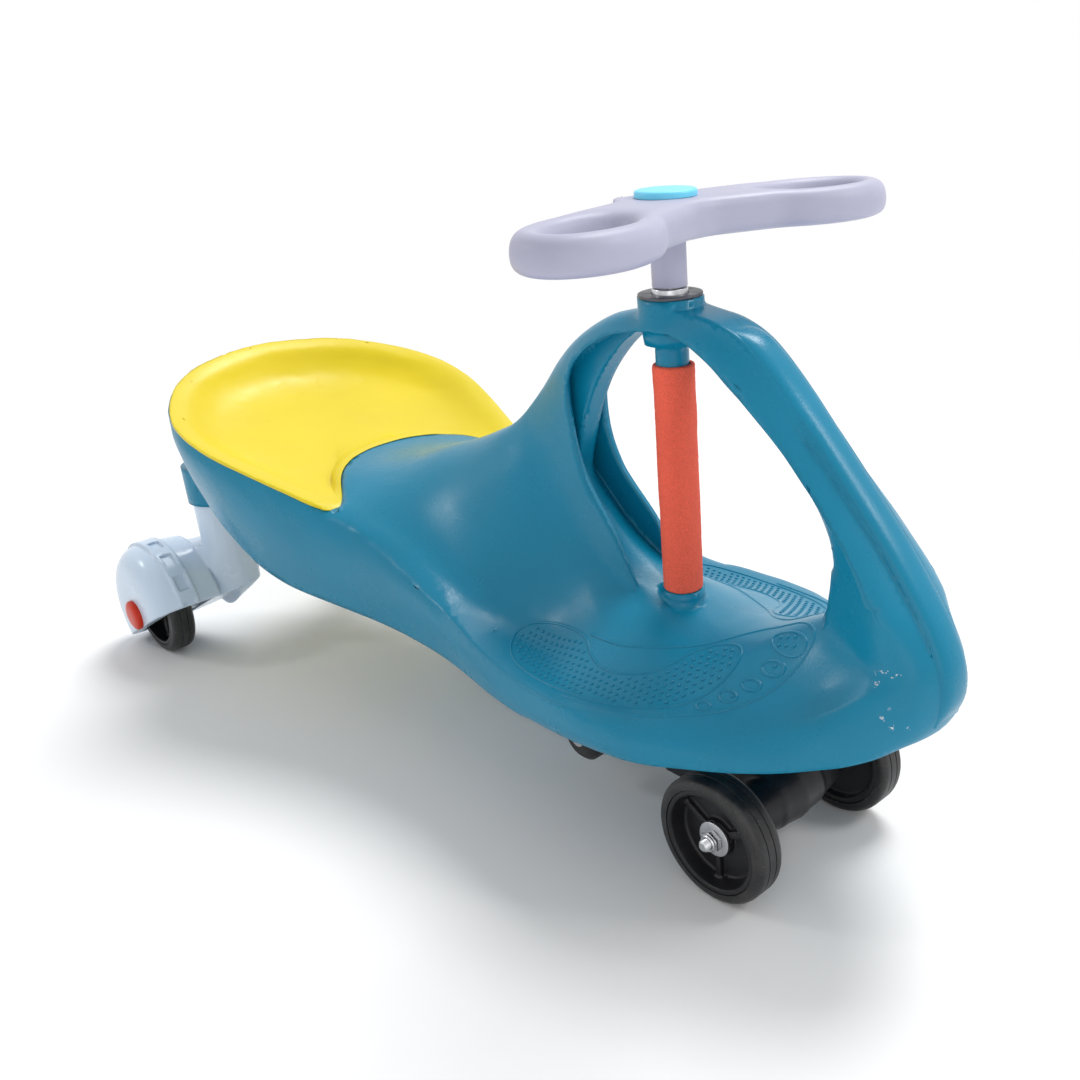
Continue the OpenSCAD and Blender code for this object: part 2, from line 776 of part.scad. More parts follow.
module lower_bush() {
    bottom = guide_bottom - flange_thickness;
    length = lower_bush_length + flange_thickness;
    color(white)
        at_axis()
            difference() {
                union() {
                    translate([0, 0, bottom])
                        cylinder(r = flange_diameter / 2, h = flange_thickness, $fn = turn_fn);
                    translate([0, 0, bottom])
                        cylinder(r = bush_radius, h = length, $fn = turn_fn);
                }
                translate([0, 0, bottom - bite])
                    cylinder(r = shaft_radius + running, h = length + 2 * bite, $fn = turn_fn);
            }
}

module steering_shaft() {
    color(steel)
        at_axis()
            difference() {
                translate([0, 0, shaft_bottom])
                    cylinder(r = shaft_radius, h = shaft_top - shaft_bottom, $fn = turn_fn);
                translate([0, 0, shaft_top - bolt_length])
                    cylinder(r = axle_radius, h = bolt_length + bite, $fn = turn_fn);
                lock_rod(lock_pin_diameter / 2, shaft_diameter);
            }
}

module lock_rod(r, reach) {
    translate([0, 0, lock_pin_height])
        cross_rod(r, -reach, reach);
}

module lock_pin() {
    color(steel)
        at_axis()
            lock_rod(lock_pin_diameter / 2, truck_boss_diameter / 2 + bite);
}

// Steering wheel

loop_offset = (handle_width - loop_length) / 2;
loop_angle = atan(handle_sweep / loop_offset);
loop_middle = norm([handle_sweep, loop_offset]);
loop_steps = 24;
bar_shares = [[0.5, -0.38], [0.5, 0.08], [0.44, 0.29], [0.27, 0.45], [0, 0.5], [-0.27, 0.45], [-0.44, 0.29],
    [-0.5, 0.08], [-0.5, -0.38], [-0.36, -0.5], [0.36, -0.5]];
loop_along = (loop_length - bar_width) / 2;
loop_across = (loop_width - bar_width) / 2;

// One ring of the bar around a loop, at a turn in degrees
function bar_ring(turn) =
    let (
        tangent = [-loop_along * sin(turn), loop_across * cos(turn)],
        out = [tangent[1], -tangent[0]] / norm(tangent)
    )
    [
        for (b = bar_shares)
            [
                loop_middle + loop_along * cos(turn) + out[0] * b[0] * bar_width,
                loop_across * sin(turn) + out[1] * b[0] * bar_width,
                handle_bottom + handle_thickness * (0.5 + b[1])
            ]
    ];

// A closed bar through rings whose last one meets the first
module bar_loop(rings) {
    n = len(rings[0]);
    m = len(rings);
    polyhedron(
        [for (r = rings) each r],
        [
            for (i = [0:m - 1])
                for (j = [0:n - 1])
                    let (
                        a = i * n + j,
                        b = i * n + (j + 1) % n,
                        c = ((i + 1) % m) * n + j,
                        d = ((i + 1) % m) * n + (j + 1) % n
                    )
                    each [[a, d, c], [a, b, d]]
        ]
    );
}

module handle_loop() {
    rotate([0, 0, -90 + loop_angle])
        bar_loop([for (k = [0:loop_steps - 1]) bar_ring(k * 360 / loop_steps)]);
}

// An arm from the hub to the place of a turn on the loop
module handle_arm(turn) {
    hull() {
        handle_puck(handle_hub_diameter * 0.42, 0, 0);
        handle_puck(bar_width * 0.45, loop_middle + loop_along * cos(turn), loop_across * sin(turn));
    }
}

module handle_puck(r, reach, side) {
    edge = handle_thickness * 0.16;
    rotate([0, 0, -90 + loop_angle])
        translate([reach, side, handle_bottom]) {
            cylinder(r1 = r - edge, r2 = r, h = edge, $fn = hull_fn);
            translate([0, 0, edge])
                cylinder(r = r, h = handle_thickness - 2 * edge, $fn = hull_fn);
            translate([0, 0, handle_thickness - edge])
                cylinder(r1 = r, r2 = r - edge, h = edge, $fn = hull_fn);
        }
}

// The opening of a loop
module loop_hole() {
    along = loop_along - bar_width / 2;
    across = loop_across - bar_width / 2;
    rotate([0, 0, -90 + loop_angle])
        translate([loop_middle, 0, handle_bottom - bite])
            linear_extrude(height = handle_thickness + 2 * bite)
                polygon([for (k = [0:loop_steps - 1])
                    [along * cos(k * 360 / loop_steps), across * sin(k * 360 / loop_steps)]]);
}

module handle_half() {
    handle_loop();
    for (turn = [135, 160, 185, 210, 240])
        handle_arm(turn);
}

module steering_wheel() {
    head_floor = handle_top - bolt_head - bite;
    shaft_hole = shaft_top - handle_bottom + bite;
    color(lilac)
        at_axis()
            union() {
                difference() {
                    union() {
                        mirrored()
                            handle_half();
                        translate([0, 0, handle_bottom])
                            cylinder(r = handle_hub_diameter / 2, h = handle_thickness, $fn = turn_fn);
                    }
                    mirrored()
                        loop_hole();
                    translate([0, 0, handle_bottom - bite])
                        cylinder(r = shaft_radius + seat_hole, h = shaft_hole, $fn = turn_fn);
                    translate([0, 0, handle_bottom])
                        cylinder(r = axle_radius + seat_hole, h = handle_thickness + bite, $fn = turn_fn);
                    translate([0, 0, head_floor])
                        cylinder(r = cap_diameter * 0.32, h = handle_thickness, $fn = turn_fn);
                }
            }
}

module wheel_cap() {
    r = cap_diameter / 2;
    edge = cap_thickness * 0.4;
    color(sky)
        at_axis()
            translate([0, 0, handle_top])
                rotate_extrude($fn = turn_fn)
                    polygon([
                        [0, 0],
                        [r, 0],
                        [r, cap_thickness - edge],
                        [r - edge, cap_thickness],
                        [0, cap_thickness]
                    ]);
}

module handle_bolt() {
    floor_z = handle_top - bolt_head - bite;
    color(steel)
        at_axis() {
            translate([0, 0, floor_z])
                cylinder(r = nut_radius, h = bolt_head, $fn = 6);
            translate([0, 0, shaft_top - bolt_length])
                cylinder(r = axle_radius, h = floor_z - shaft_top + bolt_length + bite, $fn = turn_fn);
        }
}

module wheel_stem() {
    color(lilac)
        at_axis()
            ring(stem_diameter / 2, shaft_radius, stem_bottom, handle_bottom);
}

// Front truck

module at_front_axle() {
    translate([front_axle_x, 0, wheel_radius])
        children();
}

module at_balance_axle() {
    translate([balance_x, 0, balance_height])
        children();
}

module truck_plate() {
    translate([0, -plate_thickness / 2, 0])
        hull() {
            at_front_axle()
                cross_disc(axle_tube_middle * 0.46);
            translate([axis_x, 0, truck_bottom + truck_boss_diameter * 0.3])
                cross_disc(truck_boss_diameter * 0.3);
            at_balance_axle()
                cross_disc(balance_tube / 2);
        }
}

module cross_disc(r) {
    rotate([-90, 0, 0])
        cylinder(r = r, h = plate_thickness, $fn = hull_fn);
}

module axle_cone() {
    rotate([-90, 0, 0])
        cylinder(r1 = axle_tube_middle / 2, r2 = axle_tube_end / 2, h = tube_half, $fn = turn_fn);
}

module front_truck() {
    color(black)
        difference() {
            union() {
                at_axis()
                    translate([0, 0, truck_bottom])
                        cylinder(r = truck_boss_diameter / 2, h = truck_top - truck_bottom, $fn = turn_fn);
                mirrored()
                    translate([0, plate_spacing / 2, 0])
                        truck_plate();
                at_front_axle()
                    mirrored()
                        axle_cone();
                at_balance_axle()
                    cross_rod(balance_tube / 2, wheel_gap - balance_inner, balance_inner - wheel_gap);
            }
            at_axis()
                translate([0, 0, shaft_bottom])
                    cylinder(r = shaft_radius, h = truck_top, $fn = turn_fn);
            at_axis()
                lock_rod(lock_pin_diameter / 2, truck_boss_diameter);
            at_front_axle()
                cross_rod(axle_radius, -front_track, front_track);
            at_balance_axle()
                cross_rod(balance_axle_diameter / 2, -balance_track, balance_track);
        }
}

balance_inner = (balance_track - balance_width) / 2;
balance_outer = (balance_track + balance_width) / 2;

module thrust_washer() {
    color(white)
        at_axis()
            ring(truck_boss_diameter * 0.4, shaft_radius, truck_top, truck_top + thrust_thickness);
}

module front_axle() {
    color(steel)
        at_front_axle()
            cross_rod(axle_radius, -axle_reach, axle_reach);
}

washer_place = front_track / 2 - recess_depth + bearing_rise + wheel_gap;
axle_reach = washer_place + axle_washer_thickness + nut_thickness + axle_overhang;

module axle_nuts() {
    color(steel)
        at_front_axle()
            mirrored()
                translate([0, washer_place + axle_washer_thickness, 0])
                    rotate([-90, 0, 0])
                        difference() {
                            cylinder(r = nut_radius, h = nut_thickness, $fn = 6);
                            translate([0, 0, -bite])
                                cylinder(r = axle_radius, h = nut_thickness + 2 * bite, $fn = turn_fn);
                        }
}

module axle_washers() {
    color(steel)
        at_front_axle()
            mirrored()
                translate([0, washer_place, 0])
                    rotate([-90, 0, 0])
                        ring(axle_washer_diameter / 2, axle_radius, 0, axle_washer_thickness);
}

module balance_axle() {
    reach = balance_outer + wheel_gap + balance_clip;
    color(steel)
        at_balance_axle()
            cross_rod(balance_axle_diameter / 2, -reach, reach);
}

balance_clip = balance_axle_diameter / 2;

module balance_clips() {
    color(steel)
        at_balance_axle()
            mirrored()
                translate([0, balance_outer + wheel_gap, 0])
                    rotate([-90, 0, 0])
                        ring(balance_axle_diameter, balance_axle_diameter / 2, 0, balance_clip);
}

// Wheels, drawn with the axle along Z and the outer face up

module tyre_ring() {
    r = wheel_radius;
    inner = rim_diameter / 2;
    w = wheel_width;
    steps = 5;
    rotate_extrude($fn = turn_fn)
        polygon(concat(
            [[inner, 0]],
            [for (i = [0:steps]) shoulder_point(r, shoulder, -90 + 90 * i / steps)],
            [for (i = [0:steps])
                let (p = shoulder_point(r, shoulder, 90 * i / steps))
                [p[0], p[1] + w - 2 * shoulder]],
            [[inner, w]]
        ));
}

function shoulder_point(r, s, turn) = [r - s + s * cos(turn), s + s * sin(turn)];

module wheel_hub() {
    rim = rim_diameter / 2;
    recess = recess_diameter / 2;
    bearing = bearing_diameter / 2;
    face = wheel_width - recess_depth;
    difference() {
        union() {
            rotate_extrude($fn = turn_fn)
                polygon([
                    [axle_radius + running, 0],
                    [bearing, 0],
                    [bearing, back_depth],
                    [recess, back_depth],
                    [recess + wall / 2, 0],
                    [rim, 0],
                    [rim, wheel_width],
                    [recess + wall / 2, wheel_width],
                    [recess, face],
                    [bearing, face],
                    [bearing, face + bearing_rise],
                    [axle_radius + running, face + bearing_rise]
                ]);
            for (k = [0:2])
                rotate([0, 0, 90 + k * 120])
                    translate([bearing - bite, -rib_thickness / 2, face - bite])
                        cube([recess - bearing + 2 * bite, rib_thickness, bite + bearing_rise * 0.9]);
        }
    }
}

module front_place(side) {
    at_front_axle()
        scale([1, side, 1])
            translate([0, front_track / 2 - wheel_width, 0])
                rotate([-90, 0, 0])
                    children();
}

module rear_place(side) {
    translate([rear_axle_x, 0, wheel_radius])
        scale([1, side, 1])
            translate([0, rear_wheel_face - wheel_width, 0])
                rotate([-90, 0, 0])
                    children();
}

module front_hub_right() {
    color(black)
        front_place(-1)
            wheel_hub();
}

module front_tyre_right() {
    color(dark)
        front_place(-1)
            tyre_ring();
}

module front_hub_left() {
    color(black)
        front_place(1)
            wheel_hub();
}

module front_tyre_left() {
    color(dark)
        front_place(1)
            tyre_ring();
}

module rear_hub_right() {
    color(black)
        rear_place(-1)
            wheel_hub();
}

module rear_tyre_right() {
    color(dark)
        rear_place(-1)
            tyre_ring();
}

module rear_hub_left() {
    color(black)
        rear_place(1)
            wheel_hub();
}

module rear_tyre_left() {
    color(dark)
        rear_place(1)
            tyre_ring();
}

module balance_roller() {
    r = balance_diameter / 2;
    edge = balance_width / 6;
    translate([0, balance_inner, 0])
        rotate([-90, 0, 0])
            rotate_extrude($fn = turn_fn)
                polygon([
                    [balance_axle_diameter / 2 + running, 0],
                    [r - edge, 0],
                    [r, edge],
                    [r, balance_width - edge],
                    [r - edge, balance_width],
                    [balance_axle_diameter / 2 + running, balance_width]
                ]);
}

module balance_wheel_right() {
    color(black)
        at_balance_axle()
            mirror([0, 1, 0])
                balance_roller();
}

module balance_wheel_left() {
    color(black)
        at_balance_axle()
            balance_roller();
}

// Rear pods, drawn on the left side

module pod_turned() {
    face = pod_face;
    ring_outer = rear_wheel_face - wheel_width * 0.25;
    ring_inner = ring_outer - ring_width;
    steps = 6;
    dome = face - ring_outer;
    rotate([-90, 0, 0])
        rotate_extrude($fn = turn_fn)
            polygon(concat(
                [[0, pod_inner], [pod_radius - ring_rise, pod_inner], [pod_radius, ring_inner],
                    [pod_radius + ring_rise, ring_inner], [pod_radius + ring_rise, ring_outer]],
                [for (i = [0:steps])
                    [pod_flat_radius + (pod_radius - pod_flat_radius) * cos(90 * i / steps),
                        ring_outer + dome * sin(90 * i / steps)]],
                [[0, face]]
            ));
}

module ring_recess(turn) {
    middle = rear_wheel_face - wheel_width * 0.25 - ring_width / 2;
    long = ring_width * 0.85;
    rotate([0, turn, 0])
        translate([0, middle, pod_radius + ring_rise])
            cube([long, ring_width * 0.6, ring_rise * 2], center = true);
}

module pod_post() {
    translate([post_x - rear_axle_x, post_offset, -wheel_radius]) {
        translate([0, 0, post_bottom])
            cylinder(r = post_diameter / 2, h = post_top - post_bottom, $fn = turn_fn);
        translate([0, 0, post_top - bite])
            cylinder(r = spigot_diameter / 2, h = spigot_length + bite, $fn = turn_fn);
    }
}

module pod_arm() {
    hull() {
        translate([0, pod_inner, pod_radius * 0.18])
            rotate([-90, 0, 0])
                cylinder(r = pod_radius * 0.7, h = wall, $fn = hull_fn);
        translate([post_x - rear_axle_x, post_offset, post_bottom - wheel_radius])
            cylinder(r = post_diameter / 2, h = (post_top - post_bottom) * 0.5, $fn = hull_fn);
    }
}

// The hollow that the wheel turns in, with a boss on each side of the wheel
module pod_hollow() {
    inner = rear_wheel_face - wheel_width - wheel_gap;
    outer = rear_wheel_face + wheel_gap;
    end = rear_wheel_face + pod_clearance;
    difference() {
        cross_rod(pod_radius - wall, pod_inner + wall, end);
        cross_rod(bearing_diameter / 2, pod_inner, inner);
        cross_rod(bearing_diameter / 2, outer, pod_face);
    }
}

module rear_pod() {
    big = pod_radius * 3;
    translate([rear_axle_x, 0, wheel_radius])
        difference() {
            union() {
                pod_turned();
                pod_arm();
                pod_post();
            }
            pod_hollow();
            rotate([0, -pod_tilt, 0])
                translate([-big, pod_inner - wall * 4, -big - pod_lip])
                    cube([2 * big, big, big]);
            cross_rod(axle_radius, 0, pod_face - axle_cap_thickness);
            for (k = [0:4])
                ring_recess(8 + k * 23);
            translate([post_x - rear_axle_x, post_offset, post_top - wheel_radius])
                cylinder(r = screw_diameter / 2, h = big, $fn = turn_fn);
        }
}

module rear_pod_right() {
    color(pale_blue)
        mirror([0, 1, 0])
            rear_pod();
}

module rear_pod_left() {
    color(pale_blue)
        rear_pod();
}

module rear_axle() {
    translate([rear_axle_x, 0, wheel_radius])
        cross_rod(axle_radius, pod_inner, pod_face - axle_cap_thickness);
}

module rear_axle_right() {
    color(steel)
        mirror([0, 1, 0])
            rear_axle();
}

module rear_axle_left() {
    color(steel)
        rear_axle();
}

module axle_cap() {
    r = axle_cap_diameter / 2;
    edge = axle_cap_thickness / 3;
    translate([rear_axle_x, pod_face, wheel_radius])
        rotate([-90, 0, 0])
            rotate_extrude($fn = turn_fn)
                polygon([
                    [0, 0],
                    [r, 0],
                    [r, axle_cap_thickness - edge],
                    [r - edge, axle_cap_thickness],
                    [0, axle_cap_thickness]
                ]);
}

module axle_cap_right() {
    color(orange)
        mirror([0, 1, 0])
            axle_cap();
}

module axle_cap_left() {
    color(orange)
        axle_cap();
}

module pod_screws() {
    color(steel)
        mirrored()
            translate([post_x, post_offset, 0]) {
                translate([0, 0, socket_top])
                    cylinder(r = screw_head_diameter / 2, h = screw_head, $fn = turn_fn);
                translate([0, 0, post_top])
                    cylinder(r = screw_diameter / 2, h = socket_top - post_top + bite, $fn = turn_fn);
            }
}

body_shell();
seat_panel();
column_tube();
foam_sleeve();
upper_bush();
hub_washer();
lower_bush();
rear_pod_right();
rear_pod_left();
rear_axle_right();
rear_axle_left();
axle_cap_right();
axle_cap_left();
pod_screws();
steering_wheel();
wheel_cap();
handle_bolt();
wheel_stem();
steering_shaft();
lock_pin();
front_truck();
thrust_washer();
front_axle();
axle_nuts();
axle_washers();
balance_axle();
balance_clips();
front_hub_right();
front_tyre_right();
front_hub_left();
front_tyre_left();
rear_hub_right();
rear_tyre_right();
rear_hub_left();
rear_tyre_left();
balance_wheel_right();
balance_wheel_left();
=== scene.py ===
"""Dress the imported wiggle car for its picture: moulded plastic, foam, steel and a plain studio."""
import logging
import math
from dataclasses import dataclass
from enum import Enum
from typing import Sequence, Union

import bmesh
import bpy
import numpy as np
from mathutils import Matrix, Vector, noise
from mathutils.bvhtree import BVHTree


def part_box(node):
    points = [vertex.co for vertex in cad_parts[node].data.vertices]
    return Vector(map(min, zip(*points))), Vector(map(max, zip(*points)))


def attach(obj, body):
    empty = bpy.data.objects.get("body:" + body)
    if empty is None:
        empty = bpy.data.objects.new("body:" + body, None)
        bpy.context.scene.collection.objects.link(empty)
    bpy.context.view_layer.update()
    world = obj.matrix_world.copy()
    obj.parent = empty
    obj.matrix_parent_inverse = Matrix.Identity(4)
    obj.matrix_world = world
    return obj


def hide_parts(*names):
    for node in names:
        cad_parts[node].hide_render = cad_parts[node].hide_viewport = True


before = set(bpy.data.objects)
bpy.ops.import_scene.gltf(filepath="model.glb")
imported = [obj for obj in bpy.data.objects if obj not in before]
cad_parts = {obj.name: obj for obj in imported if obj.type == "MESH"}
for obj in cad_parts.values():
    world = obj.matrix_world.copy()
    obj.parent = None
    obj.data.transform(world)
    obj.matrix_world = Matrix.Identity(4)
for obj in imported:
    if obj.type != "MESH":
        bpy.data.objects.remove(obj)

LOG = logging.getLogger("wiggle_car")
MM = 0.001
BLUNT = 60.0  # degrees past which a cast piece's edges stay sharp
ROW_SHARE = 0.866  # distance of staggered rows of dots, as a share of their pitch
Colour = tuple[float, float, float]
Point = tuple[float, float]
UP = Vector((0, 0, 1))
SPREAD = Vector((0, 1, 0))


class Body(Enum):
    """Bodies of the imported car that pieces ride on."""

    CHASSIS = "chassis"
    STEERING = "steering"
    FRONT_RIGHT = "front_wheel_right"
    FRONT_LEFT = "front_wheel_left"
    REAR_RIGHT = "rear_wheel_right"
    REAR_LEFT = "rear_wheel_left"
    BALANCE_RIGHT = "balance_wheel_body_right"
    BALANCE_LEFT = "balance_wheel_body_left"


class Side(Enum):
    """The rider's right and left, with the sign of Y on that side."""

    RIGHT = -1
    LEFT = 1

    @property
    def word(self) -> str:
        """The side's name as the nodes spell it."""
        return self.name.lower()


class Wire:
    """A shader value. An expression on it adds Math nodes."""

    def __init__(self, bench: "Bench", socket: bpy.types.NodeSocket) -> None:
        """Keep the socket and the bench that it lies on."""
        self.bench = bench
        self.socket = socket

    def _math(self, operation: str, first: "Value", second: "Value") -> "Wire":
        """Add one Math node and return its result."""
        return self.bench.node("ShaderNodeMath", {"operation": operation}, {0: first, 1: second})

    def __add__(self, other: "Value") -> "Wire":
        """Sum."""
        return self._math("ADD", self, other)

    __radd__ = __add__

    def __sub__(self, other: "Value") -> "Wire":
        """Difference."""
        return self._math("SUBTRACT", self, other)

    def __rsub__(self, other: "Value") -> "Wire":
        """Difference, taken from a number."""
        return self._math("SUBTRACT", other, self)

    def __mul__(self, other: "Value") -> "Wire":
        """Product."""
        return self._math("MULTIPLY", self, other)

    __rmul__ = __mul__


Value = Union[Wire, float, Sequence[float]]


class Bench:
    """One material's node tree."""

    def __init__(self, name: str) -> None:
        """Start a material with an empty tree.

        Args:
            name: The material's name.
        """
        self.material = bpy.data.materials.new(name)
        self.material.use_nodes = True
        self.tree = self.material.node_tree
        self.tree.nodes.clear()

    def node(self, kind: str, settings: dict | None = None, inputs: dict | None = None,
             output: int | str = 0) -> Wire:
        """Add a node.

        Args:
            kind: The node's type.
            settings: Attributes set first. A ramp's stops are given as "stops".
            inputs: Values or links by socket name or number.
            output: The socket to hand back.

        Returns:
            The chosen output.
        """
        made = self.tree.nodes.new(kind)
        for key, value in (settings or {}).items():
            if key == "stops":
                while len(made.color_ramp.elements) < len(value):
                    made.color_ramp.elements.new(1.0)
                for stop, (place, grey) in zip(made.color_ramp.elements, value):
                    stop.position = place
                    stop.color = (grey, grey, grey, 1.0)
            else:
                setattr(made, key, value)
        for key, value in (inputs or {}).items():
            if isinstance(value, Wire):
                self.tree.links.new(value.socket, made.inputs[key])
            else:
                made.inputs[key].default_value = value
        return Wire(self, made.outputs[output])

    def place(self, scale: Sequence[float] = (1, 1, 1)) -> Wire:
        """Object coordinates, stretched."""
        where = self.node("ShaderNodeTexCoord", output="Object")
        return self.node("ShaderNodeMapping", None, {"Vector": where, "Scale": scale})

    def noise(self, where: Wire, scale: float, detail: float = 2.0, rough: float = 0.5) -> Wire:
        """Noise of that many waves a metre, around a half."""
        return self.node("ShaderNodeTexNoise", None,
                         {"Vector": where, "Scale": scale, "Detail": detail, "Roughness": rough})

    def ramp(self, value: Wire, low: float, high: float, first: float = 0.0, last: float = 1.0) -> Wire:
        """A value stretched from low and high to first and last, and held there."""
        return self.node("ShaderNodeMapRange", {"clamp": True}, {0: value, 1: low, 2: high, 3: first, 4: last})

    def mix(self, share: Value, first: Value, second: Value) -> Wire:
        """A colour between two colours.

        Args:
            share: How much of the second there is.
            first: The first colour.
            second: The second colour.

        Returns:
            The mixed colour.
        """
        first = first if isinstance(first, Wire) else (*first, 1.0)
        second = second if isinstance(second, Wire) else (*second, 1.0)
        return self.node("ShaderNodeMix", {"data_type": "RGBA"}, {0: share, 6: first, 7: second}, 2)

    def bump(self, height: Wire, depth: float, strength: float = 1.0, under: Wire | None = None) -> Wire:
        """A normal from a height.

        Args:
            height: The height, from 0 to 1.
            depth: What a height of 1 measures, in metres.
            strength: How much of the bend is shown.
            under: A normal that this one is laid over.

        Returns:
            The normal.
        """
        inputs = {"Height": height, "Distance": depth, "Strength": strength}
        if under is not None:
            inputs["Normal"] = under
        return self.node("ShaderNodeBump", None, inputs)

    def near(self, centre: Sequence[float], reach: float, core: float = 0.35) -> Wire:
        """A mask that is one around a point and fades to zero.

        Args:
            centre: The point.
            reach: Where the mask is zero, in metres from it.
            core: The share of the reach inside which it is one.

        Returns:
            The mask.
        """
        where = self.node("ShaderNodeTexCoord", output="Object")
        away = self.node("ShaderNodeVectorMath", {"operation": "DISTANCE"}, {0: where, 1: tuple(centre)}, "Value")
        return self.ramp(away, reach, reach * core)

    def principled(self, colour: Wire, rough: Wire, normal: Wire, more: dict | None = None) -> bpy.types.Material:
        """End the tree with a Principled shader.

        Args:
            colour: Its base colour.
            rough: Its roughness.
            normal: Its normal.
            more: Other sockets' values by name.

        Returns:
            The material.
        """
        inputs = {"Base Color": colour, "Roughness": rough, "Normal": normal, **(more or {})}
        return self.surface(self.node("ShaderNodeBsdfPrincipled", None, inputs))

    def surface(self, shader: Wire) -> bpy.types.Material:
        """End the tree with a shader.

        Args:
            shader: The shader.

        Returns:
            The material.
        """
        end = self.tree.nodes.new("ShaderNodeOutputMaterial")
        self.tree.links.new(shader.socket, end.inputs["Surface"])
        return self.material


def tint(colour: Colour, share: float) -> Colour:
    """A colour made lighter or darker by a share."""
    return tuple(min(1.0, channel * share) for channel in colour)


@dataclass(frozen=True)
class MouldedPlastic:
    """Injection or blow moulded plastic with a fine grain, smudges and fine scratches."""

    name: str
    slot: str
    colour: Colour
    roughness: float = 0.34
    grain: float = 0.05 * MM
    grain_waves: float = 700.0
    mottle: float = 0.05
    scratch: float = 0.5
    specular: float = 0.5
    chips: tuple[tuple[float, float, float], ...] = ()
    chip_reach: float = 12 * MM
    chip_colour: Colour = (0.78, 0.76, 0.78)

    def material(self) -> bpy.types.Material:
        """Build the finish.

        Returns:
            The material.
        """
        bench = Bench(self.name)
        where = bench.place()
        cloud = bench.noise(where, 9.0, 3.0)
        dark, light = tint(self.colour, 1 - self.mottle), tint(self.colour, 1 + self.mottle)
        colour = bench.mix(bench.ramp(cloud, 0.3, 0.7), dark, light)
        smudge = bench.ramp(bench.noise(where, 22.0, 4.0, 0.6), 0.35, 0.7)
        hair = bench.noise(bench.place((14.0, 160.0, 60.0)), 4.0, 5.0, 0.7)
        hair = bench.ramp(hair, 0.66, 0.74) * self.scratch
        colour = bench.mix(hair * 0.25, colour, tint(self.colour, 1.5))
        rough = smudge * 0.1 + hair * 0.12 + (self.roughness - 0.05)
        flake = bench.noise(where, 420.0, 3.0, 0.6)
        for chip in self.chips:
            mark = bench.near(chip, self.chip_reach) * bench.ramp(bench.noise(where, 170.0, 4.0, 0.7), 0.6, 0.64)
            colour = bench.mix(mark, colour, self.chip_colour)
            rough = rough + mark * 0.3
        peel = bench.noise(where, self.grain_waves, 2.0, 0.55)
        normal = bench.bump(peel, self.grain)
        normal = bench.bump(bench.noise(where, 60.0, 2.0), 0.12 * MM, 0.5, normal)
        normal = bench.bump(flake, self.grain * 0.6, 0.5, normal)
        return bench.principled(colour, rough, normal, {"Specular IOR Level": self.specular})


@dataclass(frozen=True)
class OpenFoam:
    """Coloured open foam with small pores."""

    name: str
    slot: str
    colour: Colour

    def material(self) -> bpy.types.Material:
        """Build the finish.

        Returns:
            The material.
        """
        bench = Bench(self.name)
        where = bench.place()
        pore = bench.node("ShaderNodeTexVoronoi", {"feature": "F1"}, {"Vector": where, "Scale": 620.0})
        speck = bench.noise(where, 900.0, 4.0, 0.7)
        height = bench.ramp(pore, 0.1, 0.7) * 0.6 + speck * 0.6
        colour = bench.mix(bench.ramp(speck, 0.3, 0.7), tint(self.colour, 0.82), tint(self.colour, 1.12))
        stain = bench.ramp(bench.noise(where, 30.0, 3.0), 0.4, 0.7) * 0.3
        colour = bench.mix(stain, colour, tint(self.colour, 0.8))
        normal = bench.bump(height, 0.5 * MM, 0.8)
        rough = bench.ramp(speck, 0.2, 0.8, 0.85, 1.0)
        return bench.principled(colour, rough, normal)


@dataclass(frozen=True)
class PlatedSteel:
    """Zinc plated or oxide steel with fine turning marks and dull patches."""

    name: str
    slot: str
    colour: Colour
    roughness: float = 0.26
    metallic: float = 1.0

    def material(self) -> bpy.types.Material:
        """Build the finish.

        Returns:
            The material.
        """
        bench = Bench(self.name)
        where = bench.place()
        patch = bench.ramp(bench.noise(where, 140.0, 4.0, 0.6), 0.35, 0.7)
        colour = bench.mix(patch, self.colour, tint(self.colour, 0.72))
        line = bench.noise(bench.place((900.0, 60.0, 900.0)), 2.0, 3.0)
        normal = bench.bump(line, 0.03 * MM, 0.4)
        rough = patch * 0.16 + line * 0.08 + (self.roughness - 0.04)
        return bench.principled(colour, rough, normal, {"Metallic": self.metallic})


@dataclass(frozen=True)
class HardTyre:
    """Black hard tyre, dusty where it has rolled."""

    name: str
    slot: str
    colour: Colour
    dust: Colour = (0.16, 0.155, 0.15)

    def material(self) -> bpy.types.Material:
        """Build the finish.

        Returns:
            The material.
        """
        bench = Bench(self.name)
        where = bench.place()
        film = bench.ramp(bench.noise(where, 55.0, 5.0, 0.65), 0.5, 0.8)
        speck = bench.ramp(bench.noise(where, 600.0, 2.0), 0.62, 0.7)
        colour = bench.mix(film * 0.22 + speck * 0.2, self.colour, self.dust)
        rough = film * 0.22 + 0.4
        normal = bench.bump(bench.noise(where, 800.0, 3.0), 0.06 * MM, 0.6)
        return bench.principled(colour, rough, normal)


Finish = Union[MouldedPlastic, OpenFoam, PlatedSteel, HardTyre]

